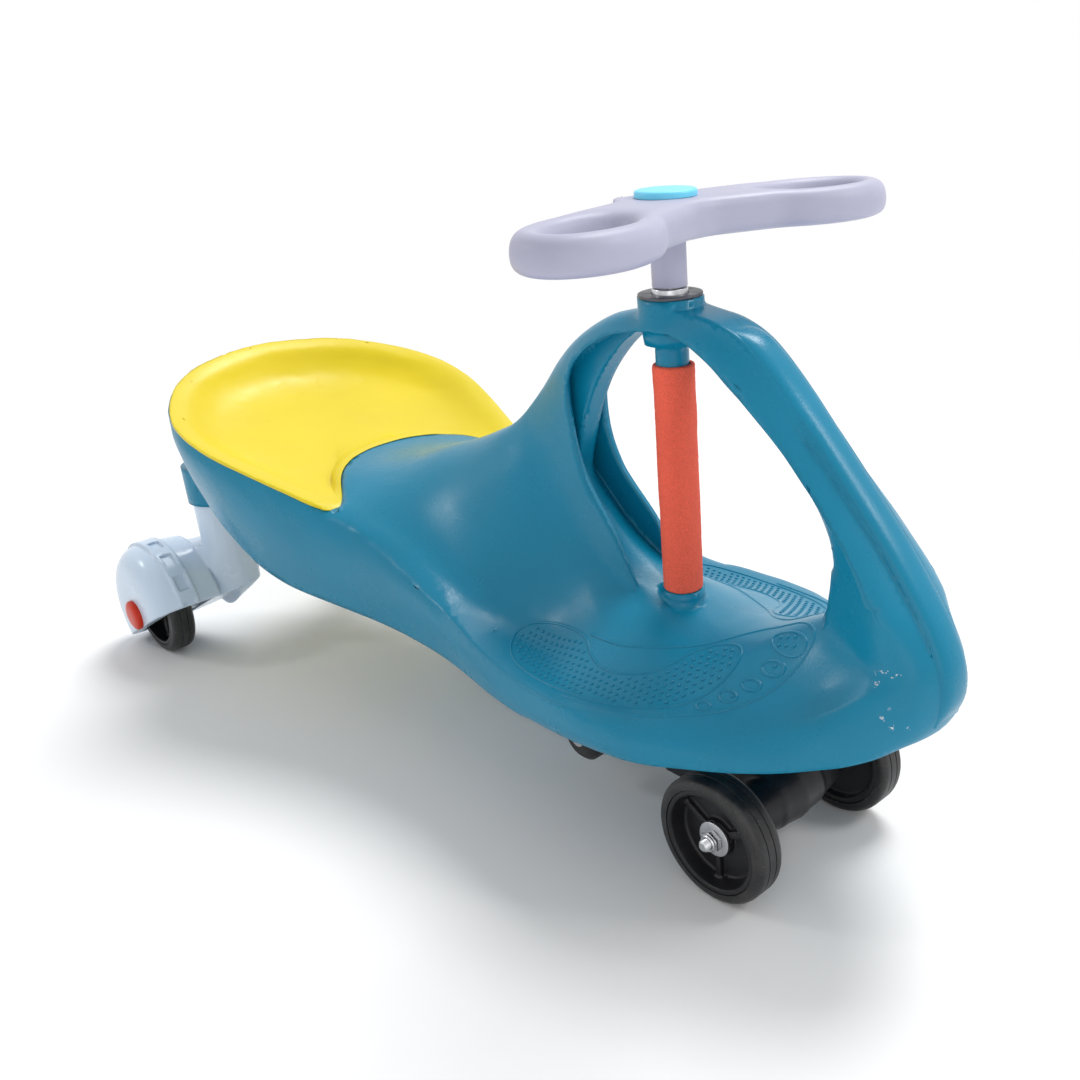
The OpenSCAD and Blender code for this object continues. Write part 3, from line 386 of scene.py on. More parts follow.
TEAL = MouldedPlastic("teal_moulding", "teal_plastic", (0.0015, 0.205, 0.345),
                      0.3, 0.09 * MM, 620.0, 0.07, 0.5, 0.3,
                      ((0.384, -0.03, 0.176), (0.39, -0.033, 0.15)))
YELLOW = MouldedPlastic("yellow_moulding", "yellow_plastic", (0.78, 0.62, 0.008),
                        0.4, 0.04 * MM, 700.0, 0.04, 0.35, 0.4)
LILAC = MouldedPlastic("lilac_moulding", "lilac_plastic", (0.43, 0.43, 0.56),
                       0.46, 0.03 * MM, 900.0, 0.03, 0.3, 0.4)
SKY = MouldedPlastic("sky_moulding", "sky_plastic", (0.18, 0.72, 0.98), 0.4, 0.03 * MM, 900.0, 0.03, 0.3)
PALE = MouldedPlastic("pale_blue_moulding", "pale_blue_plastic", (0.58, 0.70, 0.84),
                      0.24, 0.02 * MM, 900.0, 0.03, 0.3)
ORANGE = MouldedPlastic("orange_moulding", "orange_plastic", (0.60, 0.03, 0.008),
                        0.3, 0.02 * MM, 900.0, 0.03, 0.3, 0.25)
BLACK = MouldedPlastic("black_moulding", "black_plastic", (0.009, 0.009, 0.011),
                       0.4, 0.05 * MM, 700.0, 0.1, 0.8, 0.35)
WHITE = MouldedPlastic("white_moulding", "white_plastic", (0.72, 0.72, 0.69), 0.45, 0.02 * MM, 900.0, 0.03, 0.3)
FOAM = OpenFoam("coral_foam", "coral_foam", (0.90, 0.125, 0.07))
TYRE = HardTyre("black_tyre", "black_tyre", (0.008, 0.008, 0.009))
ZINC = PlatedSteel("zinc_plate", "zinc_steel", (0.66, 0.67, 0.69))
OXIDE = PlatedSteel("dark_oxide", "dark_washer", (0.12, 0.125, 0.14), 0.34)


class Paint:
    """Makes each finish once and puts it on pieces."""

    def __init__(self) -> None:
        """Start with no finish made."""
        self.made: dict[str, bpy.types.Material] = {}

    def on(self, piece: bpy.types.Object, finish: Finish) -> None:
        """Give a piece its finish.

        Args:
            piece: The object.
            finish: Its finish.
        """
        if finish.name not in self.made:
            self.made[finish.name] = finish.material()
        piece.data.materials.clear()
        piece.data.materials.append(self.made[finish.name])


PAINT = Paint()


def new_piece(name: str, bm: bmesh.types.BMesh, sharp: float = 40.0) -> bpy.types.Object:
    """Make an object of a bmesh, smooth with sharp edges past an angle.

    Args:
        name: The piece's name.
        bm: Its shape, which is freed.
        sharp: The angle in degrees from which an edge stays sharp.

    Returns:
        The object.
    """
    mesh = bpy.data.meshes.new(name)
    bm.to_mesh(mesh)
    bm.free()
    mesh.shade_smooth()
    mesh.set_sharp_from_angle(angle=math.radians(sharp))
    piece = bpy.data.objects.new(name, mesh)
    bpy.context.scene.collection.objects.link(piece)
    return piece


def seat(piece: bpy.types.Object, body: Body, finish: Finish, *nodes: str) -> bpy.types.Object:
    """Finish a piece, let it ride on its body and stand for its nodes.

    Args:
        piece: The object.
        body: The body that carries it.
        finish: Its finish.
        nodes: The CAD nodes that it stands for.

    Returns:
        The object.
    """
    PAINT.on(piece, finish)
    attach(piece, body.value)
    if nodes:
        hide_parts(*nodes)
    LOG.info("%s: %d faces", piece.name, len(piece.data.polygons))
    return piece


def node_mesh(node: str) -> bmesh.types.BMesh:
    """A merged copy of a CAD node's mesh.

    Args:
        node: The node's name.

    Returns:
        The copy.
    """
    bm = bmesh.new()
    bm.from_mesh(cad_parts[node].data)
    bmesh.ops.remove_doubles(bm, verts=bm.verts, dist=0.002 * MM)
    return bm


def smooth(bm: bmesh.types.BMesh, verts: list, rounds: int = 1, across: bool = True) -> None:
    """Smooth some vertices of a shape.

    Args:
        bm: The shape.
        verts: The vertices.
        rounds: How many times.
        across: False where they keep their distance from the middle plane.
    """
    for _ in range(rounds):
        bmesh.ops.smooth_vert(bm, verts=verts, factor=0.5, use_axis_x=True, use_axis_y=across, use_axis_z=True)


def settled(piece: bpy.types.Object) -> bmesh.types.BMesh:
    """Take the shape that a piece's modifiers leave, and remove the piece.

    Args:
        piece: The object.

    Returns:
        The shape.
    """
    held = piece.evaluated_get(bpy.context.evaluated_depsgraph_get())
    bm = bmesh.new()
    bm.from_mesh(held.to_mesh())
    held.to_mesh_clear()
    bpy.data.objects.remove(piece)
    return bm


@dataclass(frozen=True)
class SoftCast:
    """How a moulded piece is cast anew from its solid, with rounded edges and faired faces."""

    grid: float
    edge_rounds: int = 2
    fair_rounds: int = 12
    soft_angle: float = 16.0
    kept: float = 1.0

    def cast(self, name: str, node: str) -> bpy.types.Object:
        """Cast a node anew.

        Args:
            name: The piece's name.
            node: The CAD node.

        Returns:
            The piece.
        """
        rough = new_piece(name + "_rough", node_mesh(node))
        skin = rough.modifiers.new("skin", "REMESH")
        skin.mode = "VOXEL"
        skin.voxel_size = self.grid
        bm = settled(rough)
        smooth(bm, bm.verts[:], self.edge_rounds)
        bm.normal_update()
        limit = math.radians(self.soft_angle)
        soft = [v for v in bm.verts if all(f.normal.angle(v.normal, 0.0) < limit for f in v.link_faces)]
        smooth(bm, soft, self.fair_rounds)
        bm.normal_update()
        piece = new_piece(name, bm, BLUNT)
        if self.kept == 1.0:
            return piece
        fewer = piece.modifiers.new("fewer", "DECIMATE")
        fewer.ratio = self.kept
        return new_piece(name, settled(piece), BLUNT)


@dataclass(frozen=True)
class FairCast:
    """How a moulded piece is made from its solid: cut finely, small bends evened out, sharp edges kept."""

    length: float
    turns: int = 90
    moves: int = 60
    bend: float = 0.35
    sharp: float = 50.0
    short_share: float = 0.22
    small_share: float = 0.2
    mends: int = 30
    fold_limit: float = 0.94
    calm_limit: float = 0.965
    eased: tuple[tuple[float, float, float, float], ...] = ()
    ease_rounds: int = 30
    passes: int = 8
    flat_angle: float = 12.0
    calm_rounds: int = 6

    def cast(self, name: str, node: str) -> bpy.types.Object:
        """Make a node's piece.

        Args:
            name: The piece's name.
            node: The CAD node.

        Returns:
            The piece.
        """
        bm = node_mesh(node)
        self._cut(bm)
        self._fair(bm)
        for *middle, reach in self.eased:
            for k in range(self.ease_rounds):
                now = reach * (1.0 - k / (2 * self.ease_rounds))
                near = [v for v in bm.verts if (v.co - Vector(middle)).length < now]
                smooth(bm, near)
        return new_piece(name, bm, self.sharp)

    def _cut(self, bm: bmesh.types.BMesh) -> None:
        """Cut every long edge until none is left, into well shaped triangles.

        Args:
            bm: The shape.
        """
        bmesh.ops.triangulate(bm, faces=bm.faces)
        self._draw_together(bm)
        for _ in range(self.passes):
            long = [e for e in bm.edges if e.calc_length() > self.length]
            if not long:
                break
            bmesh.ops.subdivide_edges(bm, edges=long, cuts=1)
            bmesh.ops.triangulate(bm, faces=bm.faces)
            limit = math.radians(self.flat_angle)
            flat = [e for e in bm.edges if len(e.link_faces) == 2 and e.calc_face_angle(math.pi) < limit]
            bmesh.ops.beautify_fill(bm, faces=bm.faces, edges=flat, method="ANGLE")
        self._draw_together(bm)

    def _draw_together(self, bm: bmesh.types.BMesh) -> None:
        """Join the ends of short edges, a few at a time, at the sharper end.

        Args:
            bm: The shape.
        """
        limit = self.length * self.short_share
        for _ in range(self.passes):
            short = [e for e in bm.edges if len(e.link_faces) == 2 and e.calc_length() < limit]
            short.sort(key=lambda e: e.calc_length())
            taken, pairs = set(), {}
            for edge in short:
                first, last = edge.verts
                if first in taken or last in taken:
                    continue
                around = [{e.other_vert(v) for e in v.link_edges} for v in edge.verts]
                if len(around[0] & around[1]) != 2:
                    continue
                bends = [max(e.calc_face_angle(0.0) for e in v.link_edges) for v in edge.verts]
                lost, kept = (last, first) if bends[0] >= bends[1] else (first, last)
                pairs[lost] = kept
                taken |= around[0] | around[1]
            if not pairs:
                break
            bmesh.ops.weld_verts(bm, targetmap=pairs)

    def _fair(self, bm: bmesh.types.BMesh) -> None:
        """Even out the faces' directions across small bends, and move the points after them.

        Args:
            bm: The shape.
        """
        bm.verts.index_update()
        bm.faces.index_update()
        spots = np.array([v.co for v in bm.verts])
        corners = np.array([[v.index for v in f.verts] for f in bm.faces])
        pairs = np.array([[f.index for f in e.link_faces] for e in bm.edges if len(e.link_faces) == 2])
        both = np.concatenate((pairs, pairs[:, ::-1]))
        count = len(corners)

        def gather(index: np.ndarray, values: np.ndarray, size: int) -> np.ndarray:
            """Add up rows by index."""
            return np.stack([np.bincount(index, values[:, k], size) for k in range(3)], axis=1)

        a, b, c = (spots[corners[:, k]] for k in range(3))
        normal = np.cross(b - a, c - a)
        area = np.linalg.norm(normal, axis=1) + 1e-15
        normal /= area[:, None]
        small = area < np.median(area) * self.small_share
        for _ in range(self.calm_rounds):
            around = gather(both[:, 0], normal[both[:, 1]] * area[both[:, 1]][:, None], count)
            normal[small] = (around / (np.linalg.norm(around, axis=1)[:, None] + 1e-15))[small]
        for _ in range(self.turns):
            gap = normal[both[:, 0]] - normal[both[:, 1]]
            share = np.exp(-(gap * gap).sum(1) / (2 * self.bend ** 2)) * area[both[:, 1]]
            normal = normal * area[:, None] + gather(both[:, 0], normal[both[:, 1]] * share[:, None], count)
            normal /= np.linalg.norm(normal, axis=1)[:, None] + 1e-15
        flat = corners.ravel()
        weight = np.repeat(area, 3)
        total = np.bincount(flat, weight, len(spots))[:, None] + 1e-18
        facing = np.repeat(normal, 3, axis=0)
        for _ in range(self.moves):
            centre = np.repeat(spots[corners].mean(1), 3, axis=0)
            lift = ((centre - spots[flat]) * facing).sum(1) * weight
            spots = spots + gather(flat, facing * lift[:, None], len(spots)) / total
        ends = np.concatenate([corners[:, [k, (k + 1) % 3]] for k in range(3)])
        ends = np.concatenate((ends, ends[:, ::-1]))
        degree = np.bincount(ends[:, 0], minlength=len(spots))[:, None] + 1e-9
        agreed = gather(flat, facing, len(spots)) / (np.bincount(flat, minlength=len(spots))[:, None] + 1e-9)
        calm = np.linalg.norm(agreed, axis=1) > self.calm_limit
        for _ in range(self.mends):
            a, b, c = (spots[corners[:, k]] for k in range(3))
            real = np.cross(b - a, c - a)
            real /= np.linalg.norm(real, axis=1)[:, None] + 1e-18
            folded = np.unique(corners[(real * normal).sum(1) < self.fold_limit])
            folded = folded[calm[folded]]
            if not len(folded):
                break
            spots[folded] = (gather(ends[:, 0], spots[ends[:, 1]], len(spots)) / degree)[folded]
        for v, spot in zip(bm.verts, spots):
            v.co = spot


def break_edges(bm: bmesh.types.BMesh, width: float, steps: int = 2, from_angle: float = 35.0) -> None:
    """Round the sharp edges of a shape.

    Args:
        bm: The shape.
        width: The round's width in metres.
        steps: How many faces it has across.
        from_angle: The angle in degrees past which an edge is sharp.
    """
    bm.normal_update()
    sharp = [e for e in bm.edges if len(e.link_faces) == 2 and e.calc_face_angle(0.0) > math.radians(from_angle)]
    bmesh.ops.bevel(bm, geom=sharp, offset=width, offset_type="OFFSET", segments=steps, profile=0.5,
                    affect="EDGES", material=-1, clamp_overlap=True)


def recut(name: str, node: str, sharp: float = 35.0) -> bpy.types.Object:
    """A small machined piece: its node's merged mesh with smooth rounds.

    Args:
        name: The piece's name.
        node: The CAD node.
        sharp: The angle in degrees from which an edge stays sharp.

    Returns:
        The piece.
    """
    return new_piece(name, node_mesh(node), sharp)


def rounded(name: str, node: str, width: float, steps: int) -> bpy.types.Object:
    """A small piece whose node's sharp edges are rounded.

    Args:
        name: The piece's name.
        node: The CAD node.
        width: The rounds' width in metres.
        steps: How many faces they have across.

    Returns:
        The piece.
    """
    bm = node_mesh(node)
    break_edges(bm, width, steps, BLUNT)
    return new_piece(name, bm)


def quarter(steps: int) -> list[float]:
    """Angles from nothing to a quarter turn."""
    return [k * math.pi / (2 * steps) for k in range(steps + 1)]


def rolled(reach: float, outer: float, steps: int) -> list[Point]:
    """Profile of the round at a turned piece's near end, from its face outwards."""
    return [(reach * (1 - math.sin(a)), outer - reach * (1 - math.cos(a))) for a in reversed(quarter(steps))]


def far_end(profile: Sequence[Point], length: float) -> list[Point]:
    """A near end's profile, turned about for the far end of a piece of that length."""
    return [(length - along, radius) for along, radius in reversed(profile)]


def on_axle(low: Vector, high: Vector, y: float) -> Vector:
    """The middle of a box's axle line, at one distance from the middle plane."""
    return Vector(((low.x + high.x) / 2, y, (low.z + high.z) / 2))


@dataclass(frozen=True)
class Lathe:
    """Turns a profile about a line through a centre, along an axis."""

    centre: Vector
    axis: Vector
    steps: int = 96

    def turn(self, profile: Sequence[Point], closed: bool = True) -> bmesh.types.BMesh:
        """Spin a profile.

        Args:
            profile: Points as (distance along the axis, radius), in metres.
            closed: True where the last point joins the first.

        Returns:
            The turned shape.
        """
        bm = bmesh.new()
        out = self.axis.orthogonal().normalized()
        spots = [bm.verts.new(self.centre + self.axis * along + out * radius) for along, radius in profile]
        pairs = list(zip(spots, spots[1:]))
        if closed:
            pairs.append((spots[-1], spots[0]))
        for first, second in pairs:
            bm.edges.new((first, second))
        bmesh.ops.spin(bm, geom=bm.verts[:] + bm.edges[:], cent=self.centre, axis=self.axis, dvec=(0, 0, 0),
                       angle=math.tau, steps=self.steps, use_merge=True, use_duplicate=False)
        bmesh.ops.remove_doubles(bm, verts=bm.verts, dist=0.005 * MM)
        bmesh.ops.recalc_face_normals(bm, faces=bm.faces)
        return bm


@dataclass
class FootPad:
    """A foot shape on the floor: a beaded outline, and a dotted sole and toes with beads around them."""

    side: Side
    surface: BVHTree
    bead_width: float = 0.9 * MM
    bead_rise: float = 0.7 * MM
    pitch: float = 5.6 * MM
    dot_radius: float = 1.3 * MM
    dot_flat: float = 0.75
    steep: float = 0.7
    margin: float = 3.2 * MM
    toe_margin: float = 2.2 * MM
    toe_points: int = 10
    drop_from: float = 0.2
    bead_form: tuple[Point, ...] = ((-1.0, -0.4), (-0.6, 0.7), (0.0, 1.0), (0.6, 0.7), (1.0, -0.4))
    ground: tuple[Point, ...] = (
        (170, 57), (198, 56), (223, 46), (248, 32), (266, 17), (283, 8), (303, 6), (317, 11), (325, 18),
        (325, 25), (321, 34), (313, 46), (302, 59), (289, 72), (272, 84), (252, 96), (222, 103), (192, 106))
    sole: tuple[Point, ...] = (
        (122, 87), (112, 73), (116, 63), (132, 57), (152, 57), (169, 60), (182, 68), (198, 74),
        (215, 73), (230, 66), (240, 55), (247, 40), (257, 29), (270, 25), (279, 30), (282, 41),
        (280, 55), (273, 70), (262, 82), (245, 92), (220, 99), (192, 102), (163, 102), (138, 97))
    toes: tuple[tuple[float, ...], ...] = (
        (282, 69, 4, -2, 2.2, 2.4), (291, 57, 5.5, -2, 2.6, 3.1), (300, 46, 6.2, -1.5, 2.3, 2.9),
        (307.5, 34.5, 7.5, -1.5, 3, 3.6), (308, 20.5, 13, 0, 6, 6.8))

    def shape(self, points: Sequence[Point], steps: int = 8, closed: bool = True) -> list[Vector]:
        """A smooth line through points given in millimetres, on this side.

        Args:
            points: The line's points, as X and the distance from the middle plane.
            steps: How many stations lie between two points.
            closed: True where the last point joins the first.

        Returns:
            The line in metres.
        """
        count = len(points)
        spots = [Vector((x * MM, self.side.value * y * MM)) for x, y in points]
        line = []
        for i in range(count if closed else count - 1):
            at = [(i + k) % count if closed else min(max(i + k, 0), count - 1) for k in (-1, 0, 1, 2)]
            p, q, r, s = (spots[k] for k in at)
            for k in range(steps):
                t = k / steps
                square, cube = 2 * p - 5 * q + 4 * r - s, 3 * q - p - 3 * r + s
                line.append(0.5 * (2 * q + (r - p) * t + square * t * t + cube * t ** 3))
        return line

    def drop(self, x: float, y: float) -> tuple[Vector, Vector] | None:
        """Where a plumb line meets the foot floor, with the floor's normal there."""
        spot, normal, _, _ = self.surface.ray_cast(Vector((x, y, self.drop_from)), -UP)
        return None if spot is None else (spot, normal)

    def bead(self, bm: bmesh.types.BMesh, line: list[Vector], closed: bool = True) -> None:
        """Lay a round bead along a line on the floor.

        Args:
            bm: The shape that it is added to.
            line: The line in metres.
            closed: True where its end joins its start.
        """
        count = len(line)
        rows = []
        for k in range(count):
            after = (k + 1) % count if closed else min(k + 1, count - 1)
            ahead = line[after] - line[k - 1 if closed else max(k - 1, 0)]
            across = Vector((-ahead.y, ahead.x)).normalized() * self.bead_width
            sunk = not closed and k in (0, count - 1)
            row = []
            for share, height in self.bead_form:
                spot = line[k] + across * share
                rise = self.bead_rise * (self.bead_form[0][1] if sunk else height)
                found = self.drop(spot.x, spot.y)
                if found:
                    row.append(bm.verts.new(found[0] + found[1] * rise))
            rows.append(row)
        for first, second in zip(rows, [*rows[1:], rows[0]] if closed else rows[1:]):
            if len(first) == len(second) == len(self.bead_form):
                for k in range(len(self.bead_form) - 1):
                    bm.faces.new((first[k], first[k + 1], second[k + 1], second[k]))

    def dots(self, outline: list[Vector], margin: float) -> list[Vector]:
        """Places of the dots inside an outline, in staggered rows.

        Args:
            outline: The outline in metres.
            margin: How far the dots stay away from it.

        Returns:
            The places.
        """
        xs, ys = [p.x for p in outline], [p.y for p in outline]
        row = self.pitch * ROW_SHARE
        places = []
        for j in range(int((max(ys) - min(ys)) / row) + 2):
            for i in range(int((max(xs) - min(xs)) / self.pitch) + 2):
                spot = Vector((min(xs) + (i + 0.5 * (j % 2)) * self.pitch, min(ys) + j * row))
                if inside(spot, outline) and min((spot - p).length for p in outline) > margin:
                    places.append(spot)
        return places

    def build(self) -> bpy.types.Object:
        """Build the pad: beads and dots.

        Returns:
            The pad.
        """
        bm = bmesh.new()
        self.bead(bm, self.shape(self.ground, closed=False), closed=False)
        outlines = [self.shape(self.sole)]
        turns = [k * math.tau / self.toe_points for k in range(self.toe_points)]
        for x, y, *half in self.toes:
            ring = [(x + half[0] * math.cos(a) + half[2] * math.sin(a),
                     y + half[1] * math.cos(a) + half[3] * math.sin(a)) for a in turns]
            outlines.append(self.shape(ring, 4))
        for k, outline in enumerate(outlines):
            self.bead(bm, outline)
            for spot in self.dots(outline, self.margin if k == 0 else self.toe_margin):
                found = self.drop(spot.x, spot.y)
                if found and found[1].z > self.steep:
                    turn = UP.rotation_difference(found[1]).to_matrix().to_4x4()
                    set_up = Matrix.Translation(found[0]) @ turn @ Matrix.Diagonal((1, 1, self.dot_flat, 1))
                    bmesh.ops.create_icosphere(bm, subdivisions=2, radius=self.dot_radius, matrix=set_up)
        bm.normal_update()
        down = [f for f in bm.faces if len(f.verts) == 4 and f.normal.z < 0]
        bmesh.ops.reverse_faces(bm, faces=down)
        return new_piece("foot_pad_" + self.side.word, bm, BLUNT)


def inside(spot: Vector, outline: Sequence[Vector]) -> bool:
    """Tell whether a point lies inside a closed outline.

    Args:
        spot: The point.
        outline: The outline's points in order.

    Returns:
        True where it does.
    """
    odd = False
    for p, q in zip(outline, [*outline[1:], outline[0]]):
        if (p.y > spot.y) != (q.y > spot.y) and spot.x < (q.x - p.x) * (spot.y - p.y) / (q.y - p.y) + p.x:
            odd = not odd
    return odd


@dataclass
class Chassis:
    """The moulded body with its seat, foot pads and column."""

    body_cast: FairCast = FairCast(6.0 * MM, eased=((0.383, -0.029, 0.186, 0.022), (0.383, 0.029, 0.186, 0.022)))
    seat_cast: FairCast = FairCast(5.0 * MM, eased=((-0.2341, -0.05, 0.2081, 0.01), (-0.1792, 0.021, 0.1997, 0.01)))
    rib_heart: tuple[float, float, float] = (0.26, 0.0, 0.19)
    rib_turns: Point = (92.0, -18.0)
    rib_half: float = 13.0 * MM
    rib_sink: float = 0.8 * MM
    rib_rise: float = 4.2 * MM
    rib_rows: int = 70
    rib_form: tuple[float, ...] = (-1.0, -0.9, -0.7, -0.4, 0.0, 0.4, 0.7, 0.9, 1.0)
    rib_taper: int = 4
    rib_rounds: int = 6
    ray_start: float = 0.5
    foam_rows: int = 90
    foam_round: float = 1.6 * MM
    foam_wall: float = 2.7 * MM
    foam_core: float = 0.5 * MM
    swell: tuple[Point, ...] = ((60.0, 0.35 * MM), (420.0, 0.22 * MM))
    swell_rest: float = 0.3 * MM

    def build(self) -> None:
        """Build and dress the chassis."""
        shell = seat(self.body_cast.cast("moulded_body", "body_shell"), Body.CHASSIS, TEAL, "body_shell")
        seat(self.seat_cast.cast("dished_seat", "seat_panel"), Body.CHASSIS, YELLOW, "seat_panel")
        skin = bmesh.new()
        skin.from_mesh(shell.data)
        tree = BVHTree.FromBMesh(skin)
        skin.free()
        for side in Side:
            seat(FootPad(side, tree).build(), Body.CHASSIS, TEAL)
        seat(self._rib(tree), Body.CHASSIS, TEAL)
        self._column()

    def _rib(self, surface: BVHTree) -> bpy.types.Object:
        """Lay the round rib down the middle of the front leg.

        Args:
            surface: The body's skin.

        Returns:
            The rib.
        """
        bm = bmesh.new()
        heart = Vector(self.rib_heart)
        rows = []
        for k in range(self.rib_rows + 1):
            angle = math.radians(self.rib_turns[0] + (self.rib_turns[1] - self.rib_turns[0]) * k / self.rib_rows)
            way = Vector((math.cos(angle), 0, math.sin(angle)))
            start = heart + way * self.ray_start
            middle, _, _, _ = surface.ray_cast(start, -way)
            ends = min(k, self.rib_rows - k, self.rib_taper) / self.rib_taper
            row = []
            for share in self.rib_form:
                spot, _, _, _ = surface.ray_cast(start + SPREAD * share * self.rib_half, -way)
                lift = self.rib_rise * math.sqrt(1.0 - share ** 2) * ends - self.rib_sink * (1 - ends)
                if spot is not None and middle is not None:
                    crown = Vector((middle.x, spot.y, middle.z)) + way * lift
                    row.append(bm.verts.new(spot - way * self.rib_sink if abs(share) == 1.0 else crown))
            if len(row) == len(self.rib_form):
                rows.append(row)
        for first, second in zip(rows, rows[1:]):
            for k in range(len(self.rib_form) - 1):
                bm.faces.new((first[k], first[k + 1], second[k + 1], second[k]))
        inner = [v for row in rows[1:-1] for v in row[1:-1]]
        smooth(bm, inner, self.rib_rounds, across=False)
        bmesh.ops.recalc_face_normals(bm, faces=bm.faces)
        if sum(f.normal.dot(f.calc_center_median() - heart) for f in bm.faces) < 0:
            bmesh.ops.reverse_faces(bm, faces=bm.faces)
        return new_piece("leg_rib", bm, BLUNT)

    def _column(self) -> None:
        """Build the column: tube, foam, bushes and washer."""
        seat(recut("column_sleeve", "column_tube"), Body.CHASSIS, TEAL, "column_tube")
        seat(recut("floor_bush", "lower_bush"), Body.CHASSIS, WHITE, "lower_bush")
        for node, name, finish in (("upper_bush", "hub_ring", ZINC), ("hub_washer", "hub_plate", OXIDE)):
            seat(rounded(name, node, 0.5 * MM, 3), Body.CHASSIS, finish, node)
        foam = seat(self._foam(), Body.CHASSIS, FOAM, "foam_sleeve")

    def _foam(self) -> bpy.types.Object:
        """Build the foam sleeve, with rolled ends and an uneven skin.

        Returns:
            The sleeve.
        """
        low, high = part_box("foam_sleeve")
        outer = (high.x - low.x) / 2
        inner = outer - self.foam_wall
        tall = high.z - low.z
        straight = tall - 2 * self.foam_round
        wall = [(k / self.foam_rows * straight + self.foam_round, outer) for k in range(self.foam_rows + 1)]
        foot = [(0, inner), *rolled(self.foam_round, outer, 4)[:-1]]
        axle = Vector(((low.x + high.x) / 2, 0, low.z))
        bm = Lathe(axle, UP, 72).turn([*foot, *wall, *far_end(foot, tall)])
        for v in bm.verts:
            out = Vector((v.co.x - axle.x, v.co.y, 0))
            if out.length > inner + self.foam_core:
                swell = sum(noise.noise(v.co * waves) * height for waves, height in self.swell)
                v.co += out.normalized() * (swell - self.swell_rest)
        return new_piece("foam_grip", bm, 70.0)


@dataclass
class Handle:
    """The handle with its cap, stem, bolt and shaft."""

    cast: SoftCast = SoftCast(1.2 * MM, 3, 90, 24.0, 0.6)
    cap_round: float = 0.45
    cap_flat: float = 0.4

    def build(self) -> None:
        """Build and dress the handle."""
        seat(self.cast.cast("loop_handle", "steering_wheel"), Body.STEERING, LILAC, "steering_wheel")
        low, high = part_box("wheel_cap")
        radius = (high.x - low.x) / 2
        tall = high.z - low.z
        dome = far_end(rolled(tall * self.cap_round, radius, 6), tall)
        lathe = Lathe(Vector(((low.x + high.x) / 2, 0, low.z)), UP)
        cap = lathe.turn([(0, 0), (0, radius), *dome, (tall, radius * self.cap_flat), (tall, 0)], closed=False)
        seat(new_piece("handle_cap", cap), Body.STEERING, SKY, "wheel_cap")
        for node, finish in (("wheel_stem", LILAC), ("steering_shaft", ZINC),
                             ("handle_bolt", ZINC), ("lock_pin", ZINC)):
            seat(recut("turned_" + node, node), Body.STEERING, finish, node)


@dataclass
class RoadWheel:
    """A wheel of one hub and one tyre."""

    place: str
    side: Side
    body: Body
    hub_cast: SoftCast = SoftCast(0.8 * MM, 2, 6, 18.0, 0.6)
    shoulder: float = 5.0 * MM
    groove: float = 0.5 * MM
    groove_shares: Point = (0.36, 0.64)

    def build(self) -> None:
        """Build and dress the wheel."""
        tail = f"_{self.side.word}"
        hub_node, tyre_node = f"{self.place}_hub{tail}", f"{self.place}_tyre{tail}"
        seat(self.hub_cast.cast(f"{self.place}_wheel_hub{tail}", hub_node), self.body, BLACK, hub_node)
        seat(self._tyre(f"{self.place}_wheel_tyre{tail}", tyre_node), self.body, TYRE, tyre_node)

    def _tyre(self, name: str, node: str) -> bpy.types.Object:
        """Turn the tyre, with round shoulders and two fine grooves.

        Args:
            name: The piece's name.
            node: The CAD node.

        Returns:
            The tyre.
        """
        low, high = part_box(node)
        outer = (high.z - low.z) / 2
        width = high.y - low.y
        hub_low, hub_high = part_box(node.replace("tyre", "hub"))
        inner = (hub_high.z - hub_low.z) / 2
        wall = [(0, inner), *rolled(self.shoulder, outer, 8)]
        tread = []
        for share in self.groove_shares:
            mid = width * share
            tread += [(mid - self.groove, outer), (mid - self.groove * 0.5, outer - self.groove),
                      (mid + self.groove * 0.5, outer - self.groove), (mid + self.groove, outer)]
        lathe = Lathe(on_axle(low, high, low.y), SPREAD, 128)
        return new_piece(name, lathe.turn([*wall, *tread, *far_end(wall, width)]), 32.0)


